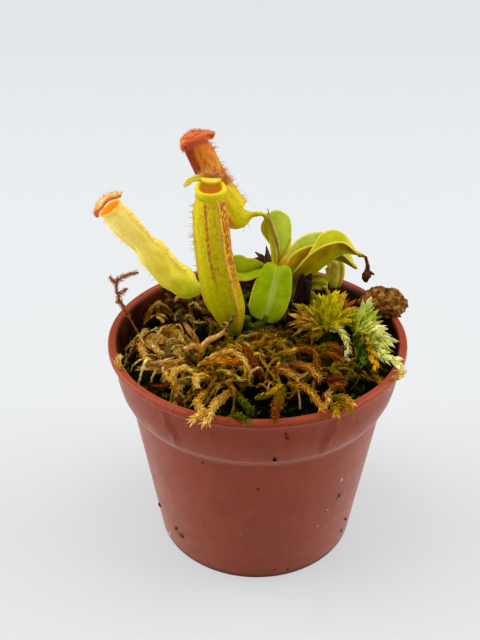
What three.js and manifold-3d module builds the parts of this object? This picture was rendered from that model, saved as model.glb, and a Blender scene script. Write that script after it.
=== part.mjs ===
// A young tropical pitcher plant in a small terracotta-coloured nursery pot topped with bog moss.
// Millimetres, +Z up. The origin is the centre of the pot's base, and the plant's front faces -Y.
import * as THREE from 'three';
import { mergeVertices } from 'three/addons/utils/BufferGeometryUtils.js';
import Module from 'manifold-3d';

const wasm = await Module();
wasm.setup();

// ---------------------------------------------------------------- driving dimensions
const gap = 0.3; // clearance between neighbouring pieces
const fineness = 0.04; // edges and slivers shorter than this are merged away after a cut
const pot = {
  sides: 48,
  height: 47,
  rimRadius: 30,
  lipDepth: 1.5,
  lipProud: 1.05, // how far the lip stands out from the collar
  shoulderRadius: 28.5,
  shoulderHeight: 39.8,
  stepRadius: 26.5,
  stepHeight: 34.7,
  baseRadius: 21.15,
  wall: 0.8,
  floor: 1.2,
  drainHoles: 6,
  drainRadius: 1.8,
  drainCircle: 14.5,
};
const soilHeight = 41; // top of the soil at the wall
const soilCrown = 1.8; // how much higher it is in the middle
const bladeThickness = 0.7;
const foldOpening = 2.6; // half width below which a folded blade starts to open
const pitcherWall = 0.7;

const colours = {
  pot: [0x8b4a35, 0.55],
  soil: [0x16110d, 0.95],
  stem: [0xc9a53a, 0.6],
  leafFront: [0x7f9a12, 0.45],
  leafSide: [0x8b9a10, 0.45],
  leafUpright: [0xa3b42e, 0.45],
  leafOlive: [0x9a9a18, 0.5],
  pitcherGreen: [0xb0a018, 0.4],
  pitcherYellow: [0xe3c84b, 0.4],
  pitcherRed: [0xa8581f, 0.45],
  deadDark: [0x1c0f0a, 0.9],
  deadBrown: [0x7a4a2c, 0.85],
  straw: [0xc79a55, 0.8],
  mossStar: [0x98911b, 0.7],
  mossPale: [0xbdb865, 0.7],
  mossOchre: [0xb2773a, 0.8],
  mossTan: [0xc5954b, 0.8],
  mossGreen: [0x4c5a1c, 0.8],
  lump: [0x624015, 0.9],
};

// ---------------------------------------------------------------- small helpers
const vec = (p) => new THREE.Vector3(...p);

function material([colour, roughness]) {
  return new THREE.MeshStandardMaterial({ color: colour, roughness, metalness: 0 });
}

function randomFrom(seed) {
  let state = seed >>> 0;
  return () => {
    state = (state + 0x6d2b79f5) >>> 0;
    let t = Math.imul(state ^ (state >>> 15), 1 | state);
    t = (t + Math.imul(t ^ (t >>> 7), 61 | t)) ^ t;
    return ((t ^ (t >>> 14)) >>> 0) / 4294967296;
  };
}

// Reads a list of values at a place from 0 to 1 along it.
function along(values, t) {
  const place = THREE.MathUtils.clamp(t, 0, 1) * (values.length - 1);
  const low = Math.min(Math.floor(place), values.length - 2);
  return THREE.MathUtils.lerp(values[low], values[low + 1], place - low);
}

// A closed triangle mesh becomes a solid, turned outside in where its faces point inwards.
function solidFrom(positions, index) {
  let volume = 0;
  const corner = (k) => new THREE.Vector3().fromArray(positions, 3 * index[k]);
  for (let k = 0; k < index.length; k += 3) {
    volume += corner(k).dot(corner(k + 1).cross(corner(k + 2)));
  }
  const triangles = Uint32Array.from(index);
  if (volume < 0) {
    for (let k = 0; k < triangles.length; k += 3) {
      [triangles[k + 1], triangles[k + 2]] = [triangles[k + 2], triangles[k + 1]];
    }
  }
  const vertProperties = Float32Array.from(positions);
  return new wasm.Manifold(new wasm.Mesh({ numProp: 3, vertProperties, triVerts: triangles }));
}

function solidOfGeometry(geometry) {
  const bare = geometry.clone();
  bare.deleteAttribute('normal');
  bare.deleteAttribute('uv');
  const merged = mergeVertices(bare, 1e-4);
  return solidFrom(Array.from(merged.attributes.position.array), Array.from(merged.index.array));
}

// The largest body of a solid: what a cut leaves loose is dropped.
function largest(solid) {
  const bodies = solid.decompose();
  return bodies.reduce((best, body) => (body.volume() > best.volume() ? body : best));
}

function meshOf(solid, name, colour) {
  const { vertProperties, triVerts } = largest(largest(solid).simplify(fineness)).getMesh();
  const geometry = new THREE.BufferGeometry();
  geometry.setAttribute('position', new THREE.BufferAttribute(vertProperties, 3));
  geometry.setIndex(new THREE.BufferAttribute(triVerts, 1));
  geometry.computeVertexNormals();
  const mesh = new THREE.Mesh(geometry, material(colours[colour]));
  mesh.name = name;
  return mesh;
}

// A closed skin through rings of points; the first and the last ring are single points.
function skin(rings) {
  const positions = rings.flat().flatMap((p) => [p.x, p.y, p.z]);
  const index = [];
  let start = 0;
  for (let r = 0; r + 1 < rings.length; r += 1) {
    const here = rings[r].length;
    const next = rings[r + 1].length;
    const count = Math.max(here, next);
    const a = (i) => start + (here === 1 ? 0 : i % count);
    const b = (i) => start + here + (next === 1 ? 0 : i % count);
    for (let i = 0; i < count; i += 1) {
      if (here > 1) index.push(a(i), a(i + 1), b(i + 1));
      if (next > 1) index.push(a(i), b(i + 1), b(i));
    }
    start += here;
  }
  return solidFrom(positions, index);
}

// A tapered round strand along a smooth curve; flat below 1 presses its section.
function strand({ path, radii, sides = 6, steps = 6, flat = 1 }, grow = 0) {
  const curve = new THREE.CatmullRomCurve3(path.map(vec), false, 'centripetal');
  const frames = curve.computeFrenetFrames(steps, false);
  const rings = [];
  for (let i = 0; i <= steps; i += 1) {
    const centre = curve.getPointAt(i / steps);
    const radius = along(radii, i / steps) + grow;
    const ring = [];
    for (let k = 0; k < sides; k += 1) {
      const turn = (2 * Math.PI * k) / sides;
      ring.push(centre.clone()
        .addScaledVector(frames.normals[i], radius * Math.cos(turn))
        .addScaledVector(frames.binormals[i], radius * flat * Math.sin(turn)));
    }
    const end = i === 0 ? -1 : 1;
    const pole = centre.clone().addScaledVector(frames.tangents[i], end * (0.6 * radius + grow / 2));
    if (i === 0) rings.push([pole], ring);
    else if (i === steps) rings.push(ring, [pole]);
    else rings.push(ring);
  }
  return skin(rings);
}

// A three-sided spine from a root sunk in its carrier to a fine tip.
function spine(root, tip, radius) {
  const axis = tip.clone().sub(root).normalize();
  const across = new THREE.Vector3(0, 0, 1).cross(axis);
  if (across.length() < 0.2) across.set(1, 0, 0);
  across.normalize();
  const other = axis.clone().cross(across);
  const ring = [0, 1, 2].map((k) => root.clone()
    .addScaledVector(across, radius * Math.cos((2 * Math.PI * k) / 3))
    .addScaledVector(other, radius * Math.sin((2 * Math.PI * k) / 3)));
  return skin([[root.clone().addScaledVector(axis, -radius)], ring, [tip]]);
}

function joined(solids) {
  return solids.reduce((sum, solid) => sum.add(solid));
}

// ---------------------------------------------------------------- leaves
// A blade folded along its keel: each half runs out from the keel in its own direction, with its
// own half widths from base to tip, and both faces are split into the same triangles. The fold
// opens where the blade is narrow, so that its two inner faces stay apart.
function blade({ keel, halves, steps = 9, camber = 0.35 }, grow = 0) {
  const curve = new THREE.CatmullRomCurve3(keel.map(vec), false, 'centripetal');
  const spread = [-1, -0.55, 0, 0.55, 1];
  const apart = vec(halves[1].toward).sub(vec(halves[0].toward)).normalize();
  const middle = [];
  for (let j = 0; j <= steps; j += 1) {
    const t = j / steps;
    const centre = curve.getPointAt(t);
    const tangent = curve.getTangentAt(t);
    middle.push(spread.map((s) => {
      const half = halves[s < 0 ? 0 : 1];
      const width = along(half.widths, t);
      const reach = width + grow;
      const opening = Math.max(0, foldOpening / width - 0.8) * (s < 0 ? -1 : 1);
      const out = vec(half.toward).addScaledVector(apart, opening);
      out.addScaledVector(tangent, -out.dot(tangent)).normalize();
      const face = tangent.clone().cross(out).multiplyScalar(s < 0 ? -1 : 1);
      const bow = camber * Math.sin(Math.PI * Math.abs(s)) * Math.min(1, reach / 2.5);
      return centre.clone().addScaledVector(out, Math.abs(s) * reach).addScaledVector(face, bow);
    }));
  }
  if (grow > 0) {
    const first = curve.getTangentAt(0);
    const last = curve.getTangentAt(1);
    middle[0].forEach((p) => p.addScaledVector(first, -grow));
    middle[steps].forEach((p) => p.addScaledVector(last, grow));
  }
  const columns = spread.length;
  const shift = bladeThickness / 2 + grow;
  const normalAt = (j, i) => {
    const before = middle[Math.max(j - 1, 0)][i];
    const after = middle[Math.min(j + 1, steps)][i];
    const low = middle[j][Math.max(i - 1, 0)];
    const high = middle[j][Math.min(i + 1, columns - 1)];
    return after.clone().sub(before).cross(high.clone().sub(low)).normalize();
  };
  const positions = [];
  for (const side of [1, -1]) {
    middle.forEach((row, j) => row.forEach((p, i) => {
      const q = p.clone().addScaledVector(normalAt(j, i), side * shift);
      positions.push(q.x, q.y, q.z);
    }));
  }
  const under = (steps + 1) * columns;
  const at = (j, i) => j * columns + i;
  const index = [];
  for (let j = 0; j < steps; j += 1) {
    for (let i = 0; i + 1 < columns; i += 1) {
      const [a, b, c, d] = [at(j, i), at(j, i + 1), at(j + 1, i + 1), at(j + 1, i)];
      index.push(a, b, c, a, c, d);
      index.push(under + a, under + c, under + b, under + a, under + d, under + c);
    }
  }
  const wallBetween = (a, b) => index.push(b, a, under + a, b, under + a, under + b);
  for (let i = 0; i + 1 < columns; i += 1) {
    wallBetween(at(0, i), at(0, i + 1));
    wallBetween(at(steps, i + 1), at(steps, i));
  }
  for (let j = 0; j < steps; j += 1) {
    wallBetween(at(j, columns - 1), at(j + 1, columns - 1));
    wallBetween(at(j + 1, 0), at(j, 0));
  }
  return solidFrom(positions, index);
}

function leaf(spec, grow = 0) {
  const parts = [blade(spec, grow)];
  if (spec.tendril) parts.push(strand(spec.tendril, grow));
  return joined(parts);
}

const stemPath = [[5.3, 13.4, 34], [5.2, 13.2, 44], [5.0, 12.9, 50], [4.9, 12.7, 55]];
const stemRadii = [1.0, 1.2, 1.3, 1.15];
const bud = { path: [[5.0, 12.7, 54], [5.7, 12.6, 57.5], [6.7, 13, 60.4], [7, 13, 61.6]], radii: [1, 1.1, 0.8, 0.2] };

const leafSpecs = [
  {
    name: 'leaf_upright',
    colour: 'leafUpright',
    keel: [[4.9, 12.6, 53], [4.2, 12, 56.4], [3.6, 12, 60.7], [2.9, 12, 64.6], [2, 12, 68.1]],
    halves: [
      { toward: [0.85, 0.5, 0.1], widths: [0.6, 0.9, 2.6, 4.4, 4.8, 3.2] },
      { toward: [-0.75, 0.65, 0.1], widths: [0.5, 0.6, 0.9, 2.2, 3.8, 1.3] },
    ],
    tendril: { path: [[2.1, 12.1, 67.4], [1.6, 11.9, 68.3], [0.9, 11.6, 68.1], [0.4, 11.4, 67.9]], radii: [0.6, 0.55, 0.55, 0.6], steps: 4 },
  },
  {
    name: 'leaf_front',
    colour: 'leafFront',
    keel: [[4.7, 11.9, 54.9], [4.4, 10.9, 56.2], [3.9, 9, 54.3], [3.3, 7.2, 52.1], [2.6, 5.4, 49.8], [1.6, 4.2, 47.4]],
    halves: [
      { toward: [-0.98, 0, 0.24], widths: [0.7, 2.9, 4.3, 4.6, 4.3, 1.7] },
      { toward: [0.98, -0.24, -0.08], widths: [0.7, 2.6, 3.5, 3.7, 3.3, 1.6] },
    ],
    tendril: {
      path: [[2.2, 4.7, 48.4], [1, 4, 46.9], [-0.4, 3.3, 46.3], [-1.5, 3, 46.6], [-2.1, 3, 47.7], [-2.1, 3, 49]],
      radii: [0.8, 0.75, 0.65, 0.6, 0.6, 0.6],
      steps: 9,
    },
  },
  {
    name: 'leaf_left',
    colour: 'leafSide',
    keel: [[4.6, 12.5, 52.8], [2.6, 11.7, 55.2], [0, 10.8, 55.6], [-2.1, 10.1, 55.2], [-5.2, 9.2, 55.6], [-8, 8.8, 55.5]],
    halves: [
      { toward: [0, 0.5, 0.87], widths: [0.6, 0.8, 2.7, 3.7, 3.2, 0.8] },
      { toward: [0, -0.99, -0.12], widths: [0.6, 0.8, 2.4, 3.1, 2.7, 0.8] },
    ],
    tendril: { path: [[-7.2, 9, 55.4], [-8.6, 9.3, 54.6], [-9.8, 9.9, 52.4], [-10.6, 10.2, 50.4], [-11.4, 10.3, 49.2]], radii: [0.6, 0.55, 0.55, 0.6], steps: 6 },
  },
  {
    name: 'leaf_long',
    colour: 'leafOlive',
    keel: [[5.2, 12.9, 48.4], [9, 12.3, 50.9], [11.9, 13, 53], [15.4, 14, 55.6], [18.6, 15, 57.1], [22.2, 15, 56.7]],
    halves: [
      { toward: [0, -0.15, 0.99], widths: [0.8, 4.4, 5.2, 4.3, 2.6, 0.4] },
      { toward: [0, 0.45, 0.89], widths: [0.8, 3.6, 5.4, 6.8, 6, 0.4] },
    ],
    steps: 12,
  },
  {
    name: 'leaf_back',
    colour: 'leafUpright',
    keel: [[5.6, 13.7, 51.2], [9.3, 16, 53.2], [13.7, 18.2, 53.8], [18.1, 18.6, 53.6], [21.6, 18, 52.1]],
    halves: [
      { toward: [0, -0.15, 0.99], widths: [0.8, 4.6, 3.9, 2.1, 0.4] },
      { toward: [0, 0.45, 0.89], widths: [0.8, 6.4, 6.4, 3.4, 0.4] },
    ],
    steps: 12,
  },
  {
    name: 'leaf_drooping',
    colour: 'leafSide',
    keel: [[5.4, 13.6, 50], [10.2, 18.2, 50.6], [15.2, 20.8, 52.8], [18, 19.9, 52.2], [18.1, 18.5, 50], [17.7, 18, 47.6]],
    halves: [
      { toward: [-0.9, -0.4, 0], widths: [0.5, 0.5, 0.6, 2, 2.8, 1.5] },
      { toward: [0.6, 0.6, 0], widths: [0.5, 0.5, 0.6, 0.9, 1.1, 0.8] },
    ],
    steps: 12,
  },
  {
    name: 'leaf_small',
    colour: 'pitcherGreen',
    keel: [[5.8, 13.4, 46.4], [8, 14.6, 48.4], [10.4, 15, 49.9], [12.8, 15, 50.6], [15, 15, 50], [15.1, 14.6, 48.4]],
    halves: [
      { toward: [-0.2, 0.5, 0.87], widths: [0.5, 0.8, 1.3, 1.6, 1.4, 0.6] },
      { toward: [-0.2, -0.6, -0.8], widths: [0.5, 0.8, 1.4, 1.8, 1.8, 0.6] },
    ],
    steps: 10,
  },
];

// ---------------------------------------------------------------- pitchers
// A hollow jug along its axis, with two ribs down the front, a beaded lip round the mouth, a lid
// hinged behind the mouth, and spines on the ribs and the lid.
function jugSection(spec, t, radius, frame, centre) {
  const { spreadAngle = 0.9, wing } = spec;
  const near = 0.22;
  const angles = [0];
  for (const s of [1, -1]) angles.push(...[-near, 0, near].map((d) => s * (spreadAngle + d)));
  for (let k = 0; k < 7; k += 1) {
    const sweep = 2 * Math.PI - 2 * (spreadAngle + near);
    angles.push(spreadAngle + near + (sweep * (k + 1)) / 8);
  }
  const turned = angles.map((a) => (a + 2 * Math.PI) % (2 * Math.PI)).sort((a, b) => a - b);
  const fade = wing * Math.min(1, (1 - t) * 8) * Math.min(1, t * 5);
  return turned.map((a) => {
    const fromFront = Math.min(a, 2 * Math.PI - a);
    const rib = fade * Math.exp(-(((fromFront - spreadAngle) / 0.16) ** 2));
    const flatness = 1 - 0.06 * Math.exp(-((fromFront / 0.6) ** 2));
    const r = radius * flatness + rib;
    return centre.clone()
      .addScaledVector(frame.front, r * Math.cos(a))
      .addScaledVector(frame.side, r * Math.sin(a));
  });
}

function jugFrames(spec) {
  const curve = new THREE.CatmullRomCurve3(spec.axis.map(vec), false, 'centripetal');
  const azimuth = THREE.MathUtils.degToRad(spec.facing);
  const faced = new THREE.Vector3(Math.sin(azimuth), -Math.cos(azimuth), 0);
  const mouthUp = vec(spec.mouthUp).normalize();
  return (t) => {
    const up = curve.getTangentAt(t).lerp(mouthUp, THREE.MathUtils.smoothstep(t, 0.8, 1)).normalize();
    const front = faced.clone().addScaledVector(up, -faced.dot(up)).normalize();
    return { centre: curve.getPointAt(t), up, front, side: up.clone().cross(front) };
  };
}

function jug(spec, grow = 0) {
  const frameAt = jugFrames(spec);
  const { steps = 11, radii, lip } = spec;
  const rings = [];
  const first = frameAt(0);
  rings.push([first.centre.clone().addScaledVector(first.up, -radii[0] * 0.7 - grow)]);
  for (let i = 0; i <= steps; i += 1) {
    const t = i / (steps + 0.6);
    const frame = frameAt(t);
    rings.push(jugSection(spec, t, along(radii, t) + grow, frame, frame.centre));
  }
  const mouth = frameAt(1);
  const mouthRadius = radii[radii.length - 1];
  if (grow > 0) {
    const top = mouth.centre.clone().addScaledVector(mouth.up, lip + grow);
    rings.push(jugSection(spec, 1, mouthRadius + lip + grow, mouth, mouth.centre));
    rings.push(jugSection(spec, 1, mouthRadius + grow, mouth, top), [top]);
    return skin(rings);
  }
  for (const degrees of [-30, 25, 80, 135, 190]) {
    const turn = THREE.MathUtils.degToRad(degrees);
    const level = mouth.centre.clone().addScaledVector(mouth.up, lip * Math.sin(turn));
    rings.push(jugSection(spec, 1, mouthRadius + lip * Math.cos(turn) - 0.1, mouth, level));
  }
  for (let i = steps - 1; i >= 2; i -= 2) {
    const t = i / (steps + 0.6);
    const frame = frameAt(t);
    rings.push(jugSection({ ...spec, wing: 0 }, t, along(radii, t) - pitcherWall, frame, frame.centre));
  }
  const depth = frameAt(1.6 / (steps + 0.6));
  rings.push([depth.centre]);
  return skin(rings);
}

function lidKeel(spec) {
  const mouth = jugFrames(spec)(1);
  const away = vec(spec.lid.toward);
  away.addScaledVector(mouth.up, -away.dot(mouth.up)).normalize();
  return spec.lid.profile.map(([out, rise]) => mouth.centre.clone()
    .addScaledVector(away, out)
    .addScaledVector(mouth.up, rise)
    .toArray());
}

function lidSpec(spec) {
  const keel = lidKeel(spec);
  const across = vec(spec.lid.across);
  return {
    keel,
    halves: [
      { toward: across.toArray(), widths: spec.lid.widths },
      { toward: across.negate().toArray(), widths: spec.lid.widths },
    ],
    steps: 5,
    camber: spec.lid.camber,
  };
}

function pitcher(spec, grow = 0) {
  const parts = [jug(spec, grow), blade(lidSpec(spec), grow)];
  if (grow > 0) return joined(parts);
  const frameAt = jugFrames(spec);
  const { spines } = spec;
  for (const s of [1, -1]) {
    for (let k = 0; k < spines.count; k += 1) {
      const t = THREE.MathUtils.lerp(spines.from, 0.94, k / (spines.count - 1));
      const { centre, up, front, side } = frameAt(t);
      const out = front.clone().multiplyScalar(Math.cos(0.9)).addScaledVector(side, s * Math.sin(0.9));
      const root = centre.clone().addScaledVector(out, along(spec.radii, t) - 0.1);
      const lean = out.clone().addScaledVector(up, k % 2 ? 0.5 : -0.1).normalize();
      parts.push(spine(root, root.clone().addScaledVector(lean, spines.length), 0.3));
    }
  }
  return joined(parts);
}

const pitcherSpecs = [
  {
    name: 'pitcher_centre',
    colour: 'pitcherGreen',
    axis: [[-4.1, 3.3, 44.9], [-4.9, 2.4, 47.4], [-5.9, 1.6, 51.8], [-7.2, 1.4, 57.2], [-8.2, 1.5, 63.7], [-8.6, 1.7, 70], [-8.8, 1.9, 75], [-8.7, 2, 77.4]],
    radii: [1.2, 2.6, 3.3, 3.45, 3.15, 2.95, 2.8, 2.65, 2.55],
    facing: -25,
    wing: 0.5,
    mouthUp: [0, -0.17, 0.985],
    lip: 0.55,
    lid: { toward: [0.1, 1, 0], profile: [[2.6, 0], [3, 1], [3.1, 2], [2.9, 2.9]], across: [1, -0.1, 0], widths: [0.8, 1.5, 1.6, 0.7], camber: -0.2 },
    spines: { count: 8, from: 0.3, length: 1.5 },
  },
  {
    name: 'pitcher_left',
    colour: 'pitcherYellow',
    axis: [[-12.4, 10.1, 49.8], [-13.8, 10, 50.6], [-16.7, 10, 53.9], [-20.1, 9.8, 58.8], [-23.2, 9.6, 63.3], [-26.2, 9.4, 67.5], [-28.9, 9.2, 70.8]],
    radii: [1.2, 2.4, 2.95, 3, 2.8, 2.6, 2.45, 2.3],
    facing: -8,
    spreadAngle: 1.25,
    wing: 0.35,
    mouthUp: [-0.62, -0.15, 0.77],
    lip: 0.5,
    lid: { toward: [0.78, 0, 0.62], profile: [[-2.2, 0.2], [-1.8, 1.5], [0.2, 2.1], [2, 1.6], [2.9, 0.8]], across: [0, 1, 0], widths: [0.9, 2, 2.3, 1.7, 0.5], camber: 0.2 },
    spines: { count: 8, from: 0.12, length: 1.3 },
  },
  {
    name: 'pitcher_back',
    colour: 'pitcherRed',
    axis: [[-0.7, 11.2, 67.4], [-2, 11.1, 67], [-3.7, 11, 67.2], [-5.3, 11, 68.7], [-6.8, 11, 71.2], [-8.3, 11, 74], [-9.6, 10.8, 76.9], [-12, 10.2, 83]],
    radii: [0.7, 2, 2.5, 2.5, 2.45, 2.4, 2.3, 2.2, 2.1],
    facing: 50,
    wing: 0.35,
    mouthUp: [-0.37, -0.08, 0.93],
    lip: 0.45,
    lid: { toward: [0.93, 0, 0.37], profile: [[-2, 0.2], [-1.6, 1.4], [0.1, 2.1], [1.9, 1.7], [3, 1]], across: [0, 1, 0], widths: [0.8, 1.9, 2.1, 1.5, 0.4], camber: 0.2 },
    spines: { count: 8, from: 0.3, length: 1.2 },
  },
];

// ---------------------------------------------------------------- dead pieces
const deadSpecs = [
  {
    name: 'dried_tendril',
    colour: 'deadBrown',
    strands: [
      { path: [[22.9, 15, 56.7], [23.3, 14.9, 55.4], [23.6, 14.8, 54], [23.4, 14.6, 52.5], [23.3, 14.4, 50.6]], radii: [0.32, 0.35, 0.5, 0.95, 0.4], steps: 7 },
      { path: [[23.4, 14.7, 53.2], [24.2, 14.4, 53], [25.1, 14.2, 52.6]], radii: [0.5, 0.35, 0.15], sides: 5, steps: 3 },
    ],
  },
  {
    name: 'dead_stem',
    colour: 'deadDark',
    strands: [{ path: [[9.8, 8, 38], [9.9, 8, 46.6], [10.1, 8.3, 51], [10.3, 8.5, 55.2]], radii: [1.3, 1.5, 1.3, 1], sides: 8, steps: 7 }],
  },
  {
    name: 'dead_leaf',
    colour: 'deadBrown',
    strands: [
      { path: [[4.3, 14.2, 48], [3.4, 14.6, 51.5], [2.7, 14.7, 55], [1.9, 15, 58.7]], radii: [0.5, 0.8, 0.95, 0.2], flat: 0.6 },
      { path: [[2.9, 14.7, 54.3], [1.3, 15, 56.2], [-0.1, 15, 57.5]], radii: [0.8, 0.65, 0.2], steps: 4, flat: 0.7 },
    ],
  },
  {
    name: 'straw_stick',
    colour: 'straw',
    strands: [
      { path: [[-11.8, -5.4, 44], [-10.2, -4.9, 47.7], [-7, -4, 49.2], [-5.5, -3.4, 51], [-4.6, -3, 53.2]], radii: [0.9, 0.95, 0.9, 0.6, 0.2] },
      { path: [[-5.6, -3.4, 50.9], [-6.2, -3.6, 51.1], [-7, -3.7, 51.2]], radii: [0.4, 0.3, 0.12], sides: 5, steps: 3 },
    ],
  },
  {
    name: 'straw_stub',
    colour: 'straw',
    strands: [{ path: [[-11.8, -1.6, 44], [-12.6, -1, 46.3], [-14.7, 1.5, 48.1], [-16.6, 3.5, 49.3]], radii: [0.8, 1, 0.95, 0.5] }],
  },
  {
    name: 'moss_sprig',
    colour: 'deadBrown',
    strands: [
      { path: [[-22.4, 0.6, 41.8], [-23.9, 1, 45.4], [-25.5, 1.2, 49.1], [-27.7, 1.5, 54.2], [-28, 1.5, 57], [-27.7, 1.5, 58.3]], radii: [0.6, 0.55, 0.45, 0.4, 0.45, 0.6], steps: 9 },
      { path: [[-27.9, 1.5, 58], [-26.5, 1.3, 59], [-24.9, 1.2, 59.8], [-23.2, 1, 60.2]], radii: [0.5, 0.6, 0.8, 0.5], steps: 5 },
      { path: [[-27.9, 1.5, 57.7], [-28.6, 1.6, 58], [-29.2, 1.6, 59]], radii: [0.55, 0.6, 0.35], steps: 3 },
      { path: [[-27.8, 1.4, 55], [-26.8, 1.2, 55.5], [-25.8, 1, 56.7]], radii: [0.35, 0.45, 0.15], steps: 3 },
      { path: [[-27.4, 1.4, 53.4], [-27.9, 1.3, 53.4], [-28.4, 1.2, 53.7]], radii: [0.35, 0.35, 0.2], steps: 3 },
    ],
  },
];

// ---------------------------------------------------------------- moss
// A star-shaped moss head: pointed branches round a short stem.
function mossHead({ centre, arms, reach, droop, root, seed }, grow = 0) {
  const random = randomFrom(seed);
  const middle = vec(centre);
  const parts = [strand({ path: [root, [centre[0], centre[1], centre[2] + 0.4]], radii: [3.4, 2.6, 1.3], sides: 8, steps: 3 }, grow)];
  for (let k = 0; k < arms; k += 1) {
    const turn = k * 2.4 + random() * 0.4;
    const rise = THREE.MathUtils.lerp(-0.15, 1.15, k / arms) - 0.1 * random();
    const length = reach * (1 - 0.35 * (k / arms)) * (0.85 + 0.3 * random());
    const out = new THREE.Vector3(Math.cos(turn) * Math.cos(rise), Math.sin(turn) * Math.cos(rise), Math.sin(rise));
    const bend = middle.clone().addScaledVector(out, length * 0.55);
    const tip = middle.clone().addScaledVector(out, length).add(new THREE.Vector3(0, 0, -droop));
    parts.push(strand({
      path: [centre, bend.toArray(), tip.toArray()],
      radii: [1, 1.5, 1.3, 0.75, 0.1],
      sides: 4,
      steps: 4,
      flat: 0.6,
    }, grow));
  }
  return joined(parts);
}

// A low mound of irregular outline, the core that a moss tuft's strands stand out of.
function mound({ x, y, wide, deep, base, top }, random) {
  const sides = 12;
  const phase = random() * 6;
  const levels = [[0, 0.98], [0.55, 1], [0.85, 0.82], [0.98, 0.42]];
  const rings = [[vec([x, y, base - 0.5])]];
  for (const [rise, size] of levels) {
    const ring = [];
    for (let k = 0; k < sides; k += 1) {
      const turn = (2 * Math.PI * k) / sides;
      const wobble = 1 + 0.1 * Math.sin(3 * turn + phase) + 0.07 * Math.sin(5 * turn + 2 * phase);
      const z = THREE.MathUtils.lerp(base, top, rise) + 0.3 * Math.sin(4 * turn + phase);
      ring.push(vec([x + wide * size * wobble * Math.cos(turn), y + deep * size * wobble * Math.sin(turn), z]));
    }
    rings.push(ring);
  }
  rings.push([vec([x, y, top])]);
  return skin(rings);
}

// A tuft of dead bog moss: strands that rise out of a mound, arch over and lie on it.
function tuft({ core, count, length, thickness, placed = [], seed }) {
  const random = randomFrom(seed);
  const parts = [mound(core, random)];
  for (let k = 0; k < count; k += 1) {
    const turn = 2.4 * k + random();
    const inner = 0.15 + 0.5 * random();
    const start = [core.x + core.wide * inner * Math.cos(turn), core.y + core.deep * inner * Math.sin(turn)];
    const swing = turn + (random() - 0.5) * 2.2;
    const reach = length * (0.6 + 0.6 * random());
    const lift = 0.4 + 1.8 * random();
    const at = (f, z) => [start[0] + reach * f * Math.cos(swing + f * 0.7), start[1] + reach * f * Math.sin(swing + f * 0.7), z];
    const radius = thickness * (0.8 + 0.5 * random());
    parts.push(strand({
      path: [[start[0], start[1], core.top - 1.8], at(0.3, core.top + lift), at(0.65, core.top + lift * 0.8), at(1, core.top - 1.2)],
      radii: [radius, radius, radius * 0.9, radius * 0.35],
      sides: 4,
      steps: 4,
    }));
  }
  for (const path of placed) {
    parts.push(strand({ path, radii: [thickness, thickness * 1.1, thickness, thickness * 0.5], sides: 4, steps: 6 }));
  }
  return joined(parts);
}

const headSpecs = [
  { name: 'moss_star', colour: 'mossStar', centre: [14.4, 2.8, 47.6], arms: 15, reach: 7.2, droop: 0.4, root: [14.2, 2.6, 41], seed: 11 },
  { name: 'moss_star_pale', colour: 'mossPale', centre: [21.8, 0.6, 46.2], arms: 13, reach: 6.2, droop: 1, root: [20.8, 1.2, 41], seed: 23 },
];

// The tufts share the soil in plots, each with its outline in plan.
const tuftSpecs = [
  {
    name: 'moss_left',
    colour: 'mossTan',
    plot: [[-30, -20], [-12.4, -20], [-12.4, 8.8], [-30, 8.8]],
    core: { x: -19.6, y: -5, wide: 8.4, deep: 13, base: 39, top: 45 },
    count: 10,
    length: 8,
    thickness: 0.65,
    placed: [[[-17, -3, 44], [-15.6, -2.4, 47], [-14.4, -4.4, 46.4], [-13.6, -6.6, 44.6]]],
    seed: 5,
  },
  {
    name: 'moss_centre',
    colour: 'mossOchre',
    plot: [[-12, -31], [8.1, -31], [8.1, 2.6], [-12, 2.6]],
    core: { x: -2, y: -11.6, wide: 11, deep: 13.4, base: 39, top: 45.8 },
    count: 13,
    length: 9,
    thickness: 0.7,
    placed: [
      [[-6.6, -16, 43.6], [-7.6, -21, 46.2], [-8.4, -25.6, 48.3], [-9.2, -28.6, 48.3], [-9.8, -30.6, 47.9]],
      [[-3.6, -14.5, 44], [-4.4, -20.5, 46.6], [-5.2, -25.6, 48.3], [-5.9, -28.8, 48.3], [-6.3, -30.6, 47.9]],
      [[0.6, -15, 43.6], [1.4, -21.5, 46], [1.8, -26, 48.3], [2.1, -28.8, 48.3], [2.2, -30.4, 48]],
    ],
    seed: 8,
  },
  {
    name: 'moss_right',
    colour: 'mossOchre',
    plot: [[8.5, -31], [30, -31], [30, 0.4], [8.5, 0.4]],
    core: { x: 16.8, y: -10.8, wide: 9.4, deep: 12, base: 39, top: 44.4 },
    count: 10,
    length: 8,
    thickness: 0.65,
    placed: [[[12, -15, 43], [12.8, -20.5, 46], [13.6, -24.2, 48.3], [14.3, -27, 48.3], [14.8, -28.2, 47.9]]],
    seed: 14,
  },
  {
    name: 'moss_back_left',
    colour: 'mossTan',
    plot: [[-28, 9.3], [-7.9, 9.3], [-7.9, 28], [-28, 28]],
    core: { x: -16.6, y: 15.6, wide: 9.6, deep: 7.4, base: 39, top: 44 },
    count: 7,
    length: 6,
    thickness: 0.75,
    seed: 31,
  },
  {
    name: 'moss_back',
    colour: 'mossGreen',
    plot: [[-7.5, 16.6], [27, 16.6], [27, 29], [-7.5, 29]],
    core: { x: 8, y: 21.8, wide: 14.6, deep: 5.6, base: 39, top: 43.8 },
    count: 9,
    length: 6,
    thickness: 0.65,
    seed: 44,
  },
];

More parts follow.
